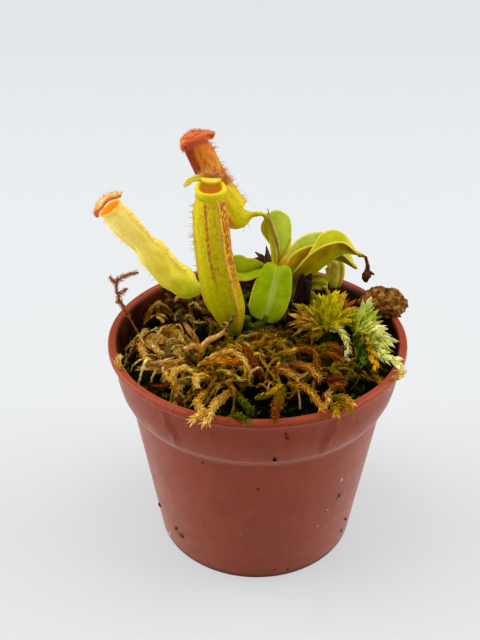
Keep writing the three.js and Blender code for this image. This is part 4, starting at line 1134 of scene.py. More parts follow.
def makePitchers():
    for seed, (name, look) in enumerate(pitchers.items()):
        jug = Jug(look)
        body = makeJug(name, look)
        settle(body, name + "_body", look["slot"], [name], smooth=60)
        if "lid" not in look:
            makeHairs(name, look, jug, None, seed)
            continue
        blade, lid = lidBlade(jug, look["lid"])
        lidLook = {"deep": look["lidColour"], "light": look["high"], "rib": look["ridge"],
                   "margin": look["lidColour"], "tip": look["lidColour"], "ribShare": 0.3, "footEnd": 0.02}
        dress(blade, leafSkin(name + "LidTop", lidLook), leafSkin(name + "LidUnder", lidLook))
        settle(blade, name + "_lid", look["slot"], [name], smooth=60)
        makeHairs(name, look, jug, lid, seed)
        print(name, "made")


makePitchers()


centreLid = {
    "flap": {
        "keel": [[-10.2, 4.3, 78.6], [-11.4, 4.4, 78.7], [-12.7, 4.3, 78.4], [-13.6, 4.1, 77.8],
                 [-14.2, 4, 76.8]],
        "halves": [
            {"toward": (0, -0.5, -0.8), "widths": [0.5, 0.8, 0.7, 0.8, 0.25]},
            {"toward": (0, 0.5, 0.8), "widths": [0.4, 0.5, 0.4, 0.3, 0.2]},
        ],
        "thickness": 0.35, "opening": 0.01, "lobes": -0.5,
    },
    "tongue": {
        "path": [[-11.0, 4.3, 78.6], [-10.1, 3.8, 78.3], [-9.0, 3.5, 78.1], [-7.9, 3.7, 78.2],
                 [-7.0, 4.3, 78.5]],
        "radii": [0.35, 0.75, 1.0, 0.75, 0.3], "flat": 0.6, "wobble": 0.2,
    },
    "crest": {
        "path": [[-11.4, 4.8, 78.4], [-9.9, 5.1, 78.8], [-8.2, 5.2, 78.9], [-6.7, 5.0, 78.3],
                 [-5.8, 4.4, 77.0]],
        "radii": [0.3, 0.55, 0.65, 0.55, 0.3], "wobble": 0.5, "seed": 4,
    },
    "flapSkin": {**greenStem, "deep": (244, 220, 80), "light": (255, 236, 120), "margin": (230, 176, 80)},
    "crestSkin": {
        "deep": (232, 160, 100), "light": (248, 214, 140), "rib": (236, 176, 110),
        "margin": (206, 120, 80), "tip": (200, 110, 76),
    },
    "bristles": 320,
    "bristleColours": ((206, 96, 70), (244, 206, 150)),
    "seed": 9,
}


def makeCentreLid():  # a yellow tongue with a curled flap beside it and a bristly crest behind
    flap = layBlade(centreLid["flap"], 8, 20)
    pale = leafSkin("flapSkin", centreLid["flapSkin"])
    dress(flap, pale, pale)
    settle(flap, "pitcher_centre_flap", "pitcher_green", ["pitcher_centre"], smooth=60)
    tongue = layStrand(centreLid["tongue"], 20, 30)
    dress(tongue, pale)
    settle(tongue, "pitcher_centre_tongue", "pitcher_green", ["pitcher_centre"], smooth=60)
    crest = layStrand(centreLid["crest"], 20, 30)
    dress(crest, leafSkin("crestSkin", centreLid["crestSkin"]))
    settle(crest, "pitcher_centre_crest", "pitcher_green", ["pitcher_centre"], smooth=60)
    dice = random.Random(centreLid["seed"])
    line, ahead = smoothLine(centreLid["crest"]["path"], 30)
    red, cream = (shadeOf(c) for c in centreLid["bristleColours"])
    places = []
    for _ in range(centreLid["bristles"]):
        k = dice.randrange(31)
        way = Vector((dice.uniform(-0.6, 0.9), dice.uniform(-0.9, 0.9), dice.uniform(0.1, 1.1)))
        way += ahead[k] * 0.3
        size = dice.uniform(0.5, 1.2) * (1.25 - 0.5 * abs(k / 15 - 1.1))
        root = (line[k] + way.normalized() * 0.5) * mm
        places.append((aimed(root, way, 0, size), red.lerp(cream, dice.random() ** 1.5)))
    bristles = spreadCopies(hairShape(1.3, 0.06), places)
    dress(bristles, hairSkin("crestHair"))
    settle(bristles, "pitcher_centre_bristles", "pitcher_green", ["pitcher_centre"], smooth=0)


makeCentreLid()


# moss
mossColours = {
    "straw": (248, 212, 124), "tan": (222, 174, 80), "gold": (214, 170, 34), "ochre": (172, 124, 14),
    "olive": (150, 140, 6), "rust": (150, 78, 34), "umber": (84, 36, 14), "black": (20, 12, 6),
    "green": (88, 104, 8), "deepGreen": (34, 48, 6), "lime": (190, 202, 60), "cream": (246, 242, 176),
    "pale": (220, 222, 120), "yellow": (212, 198, 10), "orange": (206, 122, 34), "grey": (206, 172, 118),
}
leafSizes = {  # length, half width and depth of one moss leaf, in mm
    "fine": (1.5, 0.22, 0.1), "broad": (2.6, 0.62, 0.2), "tiny": (0.85, 0.13, 0.06),
}


def linear(name):
    return shadeOf(mossColours[name])


def mossLeaf(size):  # one boat-shaped leaf standing on its foot, with its hollow side towards the stem
    length, half, depth = leafSizes[size]
    deselectAll()
    bpy.ops.mesh.primitive_cone_add(vertices=4, radius1=half * mm, radius2=0, depth=length * 0.65 * mm,
                                    location=(0, 0, length * 0.675 * mm), end_fill_type="TRIFAN")
    piece = bpy.context.object
    bpy.ops.object.transform_apply(location=True)
    for vertex in piece.data.vertices:
        level = vertex.co.z / mm
        vertex.co.y *= depth / half
        if abs(vertex.co.x) > half * 0.5 * mm:
            vertex.co.y += depth * 0.4 * mm
        low = level < length * 0.4 and vertex.co.length < length * 0.36 * mm
        if low and max(abs(vertex.co.x), abs(vertex.co.y)) < 0.01 * mm:  # the middle of the foot
            vertex.co = (0, 0, 0)
    return piece


def leavesAlong(line, look, dice):  # the leaves of one strand, sharing its colours from foot to tip
    ahead = waysAlong(line)
    across = carried(ahead)
    length = sum((b - a).length for a, b in zip(line, line[1:]))
    first, last = look["first"], look["last"]
    burnt, seed = linear("umber"), dice.random() * 50
    count = max(4, int(length / look["step"]))
    places = []
    for i in range(count):
        t = (i + 0.6) / count
        k = min(int(t * (len(line) - 1)), len(line) - 2)
        centre = line[k].lerp(line[k + 1], t * (len(line) - 1) - k)
        thick = look["thick"] * (0.6 + 0.5 * math.sin(math.pi * min(1, t * 1.1)))
        fray = ease(0.7, 1, t) * look.get("fray", 1)
        for spoke in range(3):
            turn = 2.4 * (3 * i + spoke) + dice.uniform(-0.4, 0.4)
            out = across[k] * math.cos(turn) + ahead[k].cross(across[k]) * math.sin(turn)
            splay = look["spread"] * dice.uniform(0.4, 1.6) * (1 + 1.2 * fray)
            root = centre + out * thick * 0.7 - ahead[k] * 0.4
            size = look.get("size", 1) * dice.uniform(0.7, 1.25) * (1.1 - 0.3 * t)
            stand = standing(ahead[k] + out * splay, out)
            matrix = Matrix.Translation(root * mm) @ stand @ Matrix.Scale(size, 4)
            colour = first.lerp(last, min(1, max(0, t + dice.gauss(0, 0.12)))) * dice.uniform(0.75, 1.25)
            patch = noise.noise(centre * 0.5 + Vector((seed, turn * 0.2, 0)))
            colour = colour.lerp(burnt, look.get("burnt", 0) * ease(0.05, 0.25, patch))
            places.append((matrix, colour))
    return places


def mossSkin(name):
    material, tree, shader = newSkin(name, Roughness=0.5, Specular_IOR_Level=0.18)
    glow(shader, 0.35, 0.45)
    own = marked(tree, "shade")
    tree.links.new(own, shader.inputs["Emission Color"])  # painted glow: the leaves emit their own colour, standing in for light through thin tissue
    shader.inputs["Emission Strength"].default_value = 0.06
    spots = spanOf(tree, cloudOf(tree, 0.7, 3), 0.35, 0.65, 0.72, 1.15)
    grey = put(tree, "ShaderNodeCombineColor", {0: spots, 1: spots, 2: spots}).outputs[0]
    tree.links.new(blend(tree, 1.0, own, grey, "MULTIPLY"), shader.inputs["Base Color"])
    return material


mossTissue = mossSkin("mossTissue")

tufts = {
    "moss_left": {
        "slot": "moss_tan", "seed": 5, "sprays": 6, "loose": 30, "whiskers": 30, "curls": 30,
        "front": -13, "left": -20.5,
        "colours": [("tan", "straw"), ("straw", "straw"), ("tan", "straw"), ("straw", "cream"),
                    ("umber", "rust"), ("grey", "straw")],
        "pale": 0.6,
    },
    "moss_centre": {
        "slot": "moss_ochre", "seed": 8, "sprays": 9, "loose": 36, "whiskers": 56, "curls": 30,
        "front": -16.5, "bright": 0.85,
        "at": [(3.4, -3, 2.4), (7.5, -4, 2.2), (0.5, -5.5, 1), (-4.5, -4.5, 1.4), (5.5, 0.5, 2.8),
               (9.4, 0.6, 2.6), (10.5, -4.6, 1.8), (1.5, -0.2, 2.4), (-0.4, 1.6, 2.6), (2.6, 2.2, 2.4),
               (5.4, 3, 2.2)],
        "colours": [("ochre", "gold"), ("olive", "gold"), ("ochre", "tan"), ("olive", "straw"),
                    ("gold", "straw"), ("olive", "ochre"), ("gold", "orange")],
    },
    "moss_right": {
        "slot": "moss_ochre", "seed": 14, "sprays": 5, "loose": 40, "whiskers": 30, "curls": 12,
        "front": -13,
        "colours": [("olive", "ochre"), ("deepGreen", "green"), ("deepGreen", "olive"), ("umber", "tan"),
                    ("rust", "ochre"), ("olive", "gold")],
    },
    "moss_back_left": {
        "slot": "moss_tan", "seed": 31, "sprays": 5, "loose": 20, "whiskers": 12, "curls": 14,
        "colours": [("ochre", "gold"), ("ochre", "straw"), ("umber", "ochre"), ("black", "umber")],
    },
    "moss_back": {
        "slot": "moss_green", "seed": 44, "sprays": 4, "loose": 28, "whiskers": 12,
        "colours": [("deepGreen", "green"), ("green", "olive"), ("umber", "ochre"), ("green", "lime")],
    },
}
chosenStrands = {  # the strands that stand out, from foot to tip
    "moss_left": [
        {"path": [[-20.1, 3.6, 44.4], [-17.9, 1.5, 46.5], [-16.2, 0, 47.2], [-15.0, -2.6, 46.7],
                  [-14.8, -4.3, 45]],
         "thick": 0.45, "colours": ("ochre", "straw")},
        {"path": [[-24.5, 0.3, 44.6], [-22.9, -5, 46.3], [-21.8, -7.8, 46]], "thick": 0.6,
         "colours": ("tan", "straw")},
        {"path": [[-22.6, 0.6, 44.4], [-21.4, -3.6, 46.6], [-18.6, -7.4, 46.4]], "thick": 0.5,
         "colours": ("grey", "straw")},
        {"path": [[-15.8, -16.6, 45], [-16.4, -15.1, 46.5], [-14.6, -13.2, 47.2], [-12.0, -13.4, 46.4]],
         "thick": 0.4, "colours": ("gold", "straw")},
        {"path": [[-21.0, -14.2, 44], [-18.6, -16.5, 45.2], [-16.4, -15.9, 45.5]], "thick": 0.5,
         "colours": ("umber", "rust")},
        {"path": [[-14.8, -19.1, 45.2], [-14.2, -22.9, 46], [-13.7, -25.2, 45.8]], "thick": 0.35,
         "colours": ("rust", "black")},
        {"path": [[-24.8, -13.2, 45.4], [-26.2, -13, 47.4], [-26.8, -11.6, 48], [-26.3, -10, 47.8]],
         "thick": 0.35, "colours": ("ochre", "straw")},
        {"path": [[-22.4, -8.4, 44.6], [-20, -10.2, 46.2], [-17, -10.4, 46.6], [-14.4, -9.4, 46.2]],
         "thick": 0.6, "colours": ("grey", "tan")},
    ],
    "moss_centre": [
        {"path": [[-4.7, -15.5, 44.3], [-6.5, -20.8, 46], [-8.1, -26.2, 48], [-8.9, -29.8, 48.4],
                  [-9.7, -31.2, 47.6]],
         "thick": 0.75, "colours": ("ochre", "straw")},
        {"path": [[-10, -17.9, 45], [-11.2, -23.6, 46.8], [-10.1, -28.6, 48.4], [-11.1, -30, 48.5],
                  [-12.1, -30.8, 47.9]],
         "thick": 0.6, "colours": ("gold", "straw")},
        {"path": [[4.7, -15.5, 44.6], [3.5, -22.2, 46.4], [2.8, -27.2, 48.2], [2.5, -30.6, 48]],
         "thick": 0.95, "colours": ("olive", "rust")},
        {"path": [[5.6, -15.7, 45.4], [8.7, -19.2, 46.8], [10.2, -22.8, 47], [11.1, -27.4, 48.2]],
         "thick": 0.6, "colours": ("ochre", "tan")},
        {"path": [[-0.7, -19.3, 44.6], [1.6, -20.1, 46.2], [3.9, -17.3, 46]], "thick": 0.3,
         "colours": ("olive", "gold")},
        {"path": [[-2.8, -4.5, 46.4], [-1.9, -8.8, 48], [-1.0, -11.5, 47.6], [0.5, -14.3, 46]],
         "thick": 0.7, "colours": ("orange", "umber")},
        {"path": [[2.4, -12.2, 46.4], [5, -14.8, 47.6], [7.6, -16.2, 46.8]], "thick": 0.7,
         "colours": ("rust", "tan")},
        {"path": [[-10.6, -5.7, 45.6], [-12.2, -5.4, 47.2], [-13.7, -5.5, 47], [-14.4, -4.9, 45.6]],
         "thick": 0.4, "colours": ("tan", "straw")},
        {"path": [[-4.7, -16.1, 44.2], [-3, -20.9, 45.2], [-1.5, -24.8, 45.4]], "thick": 0.5,
         "colours": ("olive", "green")},
        {"path": [[-8, -27, 44.6], [-5.3, -26.8, 45.6], [-3.5, -29, 47.8], [-2.1, -31, 48]],
         "thick": 0.55, "colours": ("olive", "green")},
        {"path": [[-11, -9, 45.6], [-8.4, -11, 47.4], [-5.4, -11.6, 47.6], [-3, -10, 46.4]], "thick": 0.7,
         "colours": ("gold", "orange")},
        {"path": [[-9.4, -8, 46], [-5.4, -8.4, 47.8], [-2.6, -10.6, 47.2], [-1.6, -14, 45.8]],
         "thick": 0.6, "colours": ("tan", "straw")},
        {"path": [[0.4, -3.4, 46.2], [3.2, -5, 47.8], [5.4, -4, 47.4]], "thick": 0.5,
         "colours": ("ochre", "gold")},
        {"path": [[3, -7, 46], [5.6, -8.4, 47.6], [8.2, -6.4, 47.2]], "thick": 0.45,
         "colours": ("olive", "tan")},
        {"path": [[-9, -14, 45.4], [-11.4, -15.4, 46.8], [-11.6, -18.2, 46.2]], "thick": 0.8,
         "colours": ("gold", "straw")},
    ],
    "moss_right": [
        {"path": [[13.3, -19.4, 44.8], [15.3, -22.3, 46.8], [16.2, -25.6, 48.2]], "thick": 0.5,
         "colours": ("olive", "tan")},
        {"path": [[13.1, -22.8, 45.4], [14.9, -26.4, 48], [16, -28.4, 48]], "thick": 0.5,
         "colours": ("olive", "ochre")},
        {"path": [[13.3, -22.9, 45.4], [13.4, -26.6, 47.8], [13.2, -28.8, 48]], "thick": 0.45,
         "colours": ("olive", "gold")},
        {"path": [[5.6, -10.4, 46.2], [8.8, -12.8, 47.4], [11.9, -15.7, 46.2]], "thick": 0.6,
         "colours": ("rust", "tan")},
        {"path": [[7.9, -4, 46.4], [8.8, -7.3, 47.9], [10.9, -7.9, 47.4], [11.3, -10.3, 46]],
         "thick": 0.75, "colours": ("rust", "ochre")},
        {"path": [[12, -4.4, 46], [14.7, -6.1, 47.6], [16.1, -6.6, 46.9]], "thick": 0.8,
         "colours": ("olive", "rust")},
        {"path": [[12.2, -6.2, 45.6], [14.6, -8.3, 47], [16.4, -9.5, 46.4]], "thick": 0.7,
         "colours": ("ochre", "rust")},
        {"path": [[12.6, -14, 45], [13.9, -16.1, 46.6], [15.7, -15, 46]], "thick": 0.9,
         "colours": ("umber", "rust")},
        {"path": [[13.2, -17.9, 44.8], [14.7, -17.3, 46.2], [15.9, -17.4, 45.6]], "thick": 0.8,
         "colours": ("ochre", "rust")},
        {"path": [[11.8, -21.1, 45], [12.3, -21.2, 47], [12.3, -23.7, 46.6], [11.6, -23.8, 46]],
         "thick": 0.45, "colours": ("rust", "straw")},
        {"path": [[24.4, -15.6, 46], [26.4, -16.6, 48], [26.9, -15.2, 48], [26.2, -14.2, 47.7]],
         "thick": 0.3, "colours": ("tan", "cream")},
        {"path": [[21.6, -10, 44], [22.8, -15, 45.6], [23.4, -18, 46]], "thick": 0.4,
         "colours": ("green", "gold")},
    ],
}


def insidePot(x, y, margin=1.0):
    return math.hypot(x, y) < soil["radius"] - margin


def tuftStrands(mound, look):
    dice = random.Random(look["seed"])
    strands = []

    def lay(x, y, swing, reach, rises, thick, dim, **more):
        curl = dice.uniform(-1.2, 1.2)
        path = []
        for f, rise in zip((0, 0.25, 0.5, 0.75, 1), rises):
            px = x + reach * f * math.cos(swing + curl * f)
            py = y + reach * f * math.sin(swing + curl * f)
            far = math.hypot(px, py)
            if far > soil["radius"] - 0.9:
                px, py = (c * (soil["radius"] - 0.9) / far for c in (px, py))
            path.append([px, py, mossTop(px, py) + rise + dice.uniform(-0.35, 0.35)])
        first, last = (linear(c) for c in dice.choice(look["colours"]))
        strand = {"path": path, "thick": thick, "first": first * dim * 0.8, "last": last * dim,
                  "spread": dice.uniform(0.12, 0.3), "step": 0.3, "size": dice.uniform(0.55, 0.95),
                  "fray": 1.6, "burnt": dice.choice((0, 0.6, 0.9))}
        strands.append(dict(strand, **more))

    def spot():
        x, y = 40, 0
        front, left = look.get("front", -40), look.get("left", -40)
        while not insidePot(x, y, 2) or y < front or (x < left and y < -4):
            turn, away = dice.uniform(0, 2 * math.pi), math.sqrt(dice.random())
            x = mound["x"] + mound["wide"] * away * math.cos(turn)
            y = mound["y"] + mound["deep"] * away * math.sin(turn)
        return x, y

    def spray(x, y, lift):  # a head that branches out from a middle and droops
        dim = dice.choice((0.35, 0.6, 0.95, 1.1)) * look.get("bright", 1)
        for k in range(dice.randrange(4, 8)):
            swing = 2.4 * k + dice.uniform(-0.5, 0.5)
            rises = [lift + r for r in (-0.2, 0.7, 0.6, -0.2, dice.uniform(-2, 0.2))]
            lay(x, y, swing, dice.uniform(2.8, 7), rises, dice.uniform(0.22, 0.5),
                dim * dice.uniform(0.75, 1.2))

    for _ in range(look["sprays"]):
        x, y = spot()
        spray(x, y, dice.uniform(-0.6, 0.9))
    for x, y, lift in look.get("at", []):
        spray(x, y, lift)
    for _ in range(look["loose"]):  # strands that wander through the tuft
        x, y = spot()
        level = dice.random()  # 0 lies deep and is painted dark as shade, 1 lies on top and is painted pale as light
        low = -2.2 + 2.3 * level
        rises = [low - 1, low + 0.3, low + dice.uniform(0, 1), low + dice.uniform(-0.4, 0.8),
                 low - dice.uniform(0, 1)]
        lay(x, y, dice.uniform(0, 6.3), dice.uniform(3, 10), rises, dice.uniform(0.2, 0.62),
            0.08 + look.get("pale", 0) + 0.95 * level ** 2)
    for _ in range(look.get("curls", 0)):  # smooth bright strands that loop over the top
        x, y = spot()
        top = dice.uniform(0.8, 2.2)
        rises = [-1.5, top * 0.8, top, dice.uniform(0, top), dice.uniform(-1.5, 0.6)]
        lay(x, y, dice.uniform(0, 6.3), dice.uniform(3.5, 9), rises, dice.uniform(0.2, 0.36),
            dice.uniform(0.95, 1.25), spread=0.15, size=0.5, burnt=dice.choice((0, 0, 0.7)))
    for _ in range(look["whiskers"]):  # bare threads
        x, y = spot()
        rises = [-1.4, 0, dice.uniform(0, 1.4), dice.uniform(-0.4, 1.2), dice.uniform(-1.6, 1)]
        lay(x, y, dice.uniform(0, 6.3), dice.uniform(2, 6), rises, dice.uniform(0.14, 0.3),
            dice.uniform(0.5, 1.1), bare=True)
    return strands


def makeTufts():
    for mound in mounds:
        name = mound["node"]
        look = tufts[name]
        dice = random.Random(look["seed"] + 100)
        strands = tuftStrands(mound, look)
        for chosen in chosenStrands.get(name, []):
            first, last = (linear(c) for c in chosen["colours"])
            strands.append(dict(chosen, first=first, last=last, spread=0.3, step=0.26, burnt=0.35))
        leaves, threads = [], []
        for strand in strands:
            line, _ = smoothLine(strand["path"], 14)
            thick = strand["thick"]
            core = [thick * share for share in (0.6, 0.75, 0.75, 0.6, 0.12)]
            threads.append((line, core, strand["first"] * 0.8, strand["last"] * 0.9))
            if not strand.get("bare"):
                leaves += leavesAlong(line, strand, dice)
        clothed = spreadCopies(mossLeaf("fine"), leaves)
        dress(clothed, mossTissue)
        settle(clothed, name + "_leaves", look["slot"], [name], smooth=0)
        cores = layThreads(threads)
        dress(cores, mossTissue)
        settle(cores, name + "_strands", look["slot"], [name], smooth=50)
        print(name, "dressed:", len(strands), "strands,", len(leaves), "leaves")


makeTufts()


def makeCarpet():  # short green shoots and loose grains on the peat
    carpet = {"shoots": 1500, "leavesEach": 9, "grains": 170, "seed": 77}
    dice = random.Random(carpet["seed"])
    places, grains = [], []
    while len(places) < carpet["shoots"] * carpet["leavesEach"]:
        away, turn = soil["radius"] * math.sqrt(dice.random()), dice.uniform(0, 2 * math.pi)
        x, y = away * math.cos(turn), away * math.sin(turn)
        lush = noise.noise(Vector((x * 0.22, y * 0.22, 3)))
        lush += 0.5 * noise.noise(Vector((x * 0.8, y * 0.8, 1)))
        byStem = 0.5 * ease(7, 3, math.hypot(x - 4.5, y - 9))
        lush += 0.25 * ease(14, 24, x) + 0.2 * ease(20, 27, away) - byStem
        if lush < 0.0 or not insidePot(x, y, 0.7):
            continue
        green = linear("deepGreen").lerp(linear("green"), dice.random() * min(1, lush * 2.2))
        if dice.random() < 0.15:
            green = linear("olive")
        base = mossTop(x, y) if lush > 0.5 else soilTop(x, y)
        foot = Vector((x, y, min(base, soilTop(x, y) + 1.4) - 0.2))
        lean = Vector((dice.uniform(-0.6, 0.6), dice.uniform(-0.6, 0.6), 1)).normalized()
        tall = dice.uniform(0.5, 1.8)
        for k in range(carpet["leavesEach"]):
            spin = 2.4 * k + dice.random()
            out = Vector((math.cos(spin), math.sin(spin), 0))
            root = foot + lean * tall * k / carpet["leavesEach"]
            way = lean + out * dice.uniform(0.5, 1.2)
            bright = (0.35 + 0.9 * k / carpet["leavesEach"]) * dice.uniform(0.7, 1.3)
            places.append((Matrix.Translation(root * mm) @ standing(way, out), green * bright))
    shoots = spreadCopies(mossLeaf("tiny"), places)
    dress(shoots, mossTissue)
    settle(shoots, "greenShoots", "moss_green", ["soil", "moss_right", "moss_left"], smooth=0)
    while len(grains) < carpet["grains"]:
        away, turn = soil["radius"] * math.sqrt(dice.random()), dice.uniform(0, 2 * math.pi)
        x, y = away * math.cos(turn), away * math.sin(turn)
        if not insidePot(x, y, 0.8):
            continue
        shade = linear(dice.choice(("cream", "umber", "umber", "black", "grey"))) * dice.uniform(0.5, 1.1)
        spot = Matrix.Translation(Vector((x, y, soilTop(x, y) + 0.25)) * mm)
        turned = Matrix.Rotation(dice.random() * 6, 4, Vector((dice.random(), dice.random(), 1)))
        grains.append((spot @ turned @ Matrix.Scale(dice.uniform(0.1, 0.45), 4), shade))
    deselectAll()
    bpy.ops.mesh.primitive_ico_sphere_add(subdivisions=1, radius=0.6 * mm)
    grit = spreadCopies(bpy.context.object, grains)
    dress(grit, mossTissue)
    settle(grit, "looseGrains", "soil", ["soil"], smooth=0)
    print("carpet made:", len(places), "leaves")


makeCarpet()


heads = {  # tip, foot colour, tip colour
    "moss_star": {
        "slot": "moss_star", "centre": (14.0, 2.2, 46.4), "seed": 11, "thick": 1.05,
        "arms": [
            ((15.9, 8.8, 50.2), "olive", "yellow"), ((17.5, 8.2, 50.0), "yellow", "gold"),
            ((11.6, 9.2, 49.6), "olive", "olive"), ((13.0, 7.6, 50.2), "olive", "yellow"),
            ((8.1, 3.6, 48.2), "olive", "tan"), ((9.5, 6.0, 48.8), "olive", "yellow"),
            ((8.7, 1.6, 47.4), "olive", "tan"), ((19.3, 6.6, 49.3), "yellow", "rust"),
            ((20.6, 5.2, 48.6), "yellow", "tan"), ((19.9, 2.2, 48.0), "yellow", "yellow"),
            ((12.0, -0.6, 46.8), "olive", "yellow"), ((10.4, -1.6, 46.4), "olive", "ochre"),
            ((14.0, 4.0, 50.4), "yellow", "yellow"), ((16.6, 4.6, 50.0), "yellow", "yellow"),
            ((12.2, 4.8, 49.8), "olive", "yellow"), ((15.0, 6.0, 50.6), "yellow", "yellow"),
        ],
        "long": [([[14.6, 2, 46.8], [16, -0.2, 48.2], [17.4, -2.6, 47.6], [17.8, -5, 46.6],
                   [17.2, -7.8, 45.6]],
                  "yellow", "cream")],
    },
    "moss_star_pale": {
        "slot": "moss_pale", "centre": (20.2, 0.8, 45.8), "seed": 23, "thick": 0.85,
        "arms": [
            ((22.8, 6.6, 49.8), "lime", "cream"), ((24.0, 2.8, 49.2), "lime", "lime"),
            ((24.6, -1.0, 48.2), "pale", "cream"), ((26.0, -4.3, 47.6), "pale", "cream"),
            ((24.4, -6.0, 46.9), "lime", "pale"), ((22.6, -10.8, 46.0), "olive", "gold"),
            ((20.5, -10.6, 45.6), "green", "green"), ((22.4, -5.5, 47.2), "lime", "pale"),
            ((20.0, -5.7, 46.4), "green", "pale"), ((21.6, 3.4, 49), "lime", "lime"),
            ((22.4, 0.6, 48.6), "lime", "pale"), ((19.6, 4.0, 48.2), "olive", "lime"),
            ((23.6, -2.6, 48.0), "pale", "cream"),
        ],
        "long": [([[20.6, 0, 46.4], [22.2, -4, 47.6], [24.2, -8.4, 47.8], [25.6, -11, 47.9],
                   [26.6, -13.2, 47.9]],
                  "lime", "cream"),
                 ([[21, -1, 46.4], [22.6, -6, 47], [24.4, -9.6, 47.2], [26.6, -11.2, 47.9]], "pale",
                  "cream")],
    },
}


def makeHeads():
    for name, look in heads.items():
        dice = random.Random(look["seed"])
        middle = Vector(look["centre"])
        leaves, threads = [], []
        lines = list(look["long"])
        for tip, first, last in look["arms"]:
            out = Vector(tip) - middle
            bend = middle + out * 0.5 + Vector((0, 0, 0.16 * out.length))
            lines.append(([middle + out * 0.04, bend, Vector(tip)], first, last))
        for path, first, last in lines:
            line, _ = smoothLine(path, 14)
            slim = 0.55 if len(path) > 3 else 1
            thick = look["thick"] * dice.uniform(0.85, 1.15) * slim
            arm = {"thick": thick * 0.9, "first": linear(first) * 0.8, "last": linear(last), "spread": 0.3,
                   "step": 0.95, "fray": 0.4, "size": 1.3 * slim ** 0.7}
            core = [thick * share for share in (0.6, 0.95, 0.85, 0.5, 0.06)]
            threads.append((line, core, arm["first"], arm["last"]))
            leaves += leavesAlong(line, arm, dice)
        stalk, _ = smoothLine([(middle.x, middle.y, 41), (middle.x, middle.y, 44), tuple(middle)], 6)
        threads.append((stalk, [1.5, 1.3, 1.0], linear("umber"), linear("green")))
        clothed = spreadCopies(mossLeaf("broad"), leaves)
        dress(clothed, mossTissue)
        settle(clothed, name + "_leaves", look["slot"], [name], smooth=0)
        cores = layThreads(threads)
        dress(cores, mossTissue)
        settle(cores, name + "_arms", look["slot"], [name], smooth=50)
        print(name, "made:", len(leaves), "leaves")


makeHeads()


# dead pieces
def barkSkin(name, look):
    material, tree, shader = newSkin(name, Roughness=0.7)
    grain = cloudOf(tree, 0.5, 5, stretch=(1, 1, 0.4))
    colour = rampOf(tree, grain, [(0.3, look["deep"]), (0.7, look["light"])])
    if "dark" in look:  # the far end of the strand is dark
        along = placeOf(tree, "Y", "UV")
        along = plus(tree, along, times(tree, minus(tree, grain, 0.5), 0.4))
        darkShare = spanOf(tree, along, look["dark"] - 0.08, look["dark"] + 0.08)
        colour = paint(tree, colour, darkShare, (44, 24, 14))
    tree.links.new(colour, shader.inputs["Base Color"])
    bumpFrom(tree, shader, grain, 0.12)
    return material


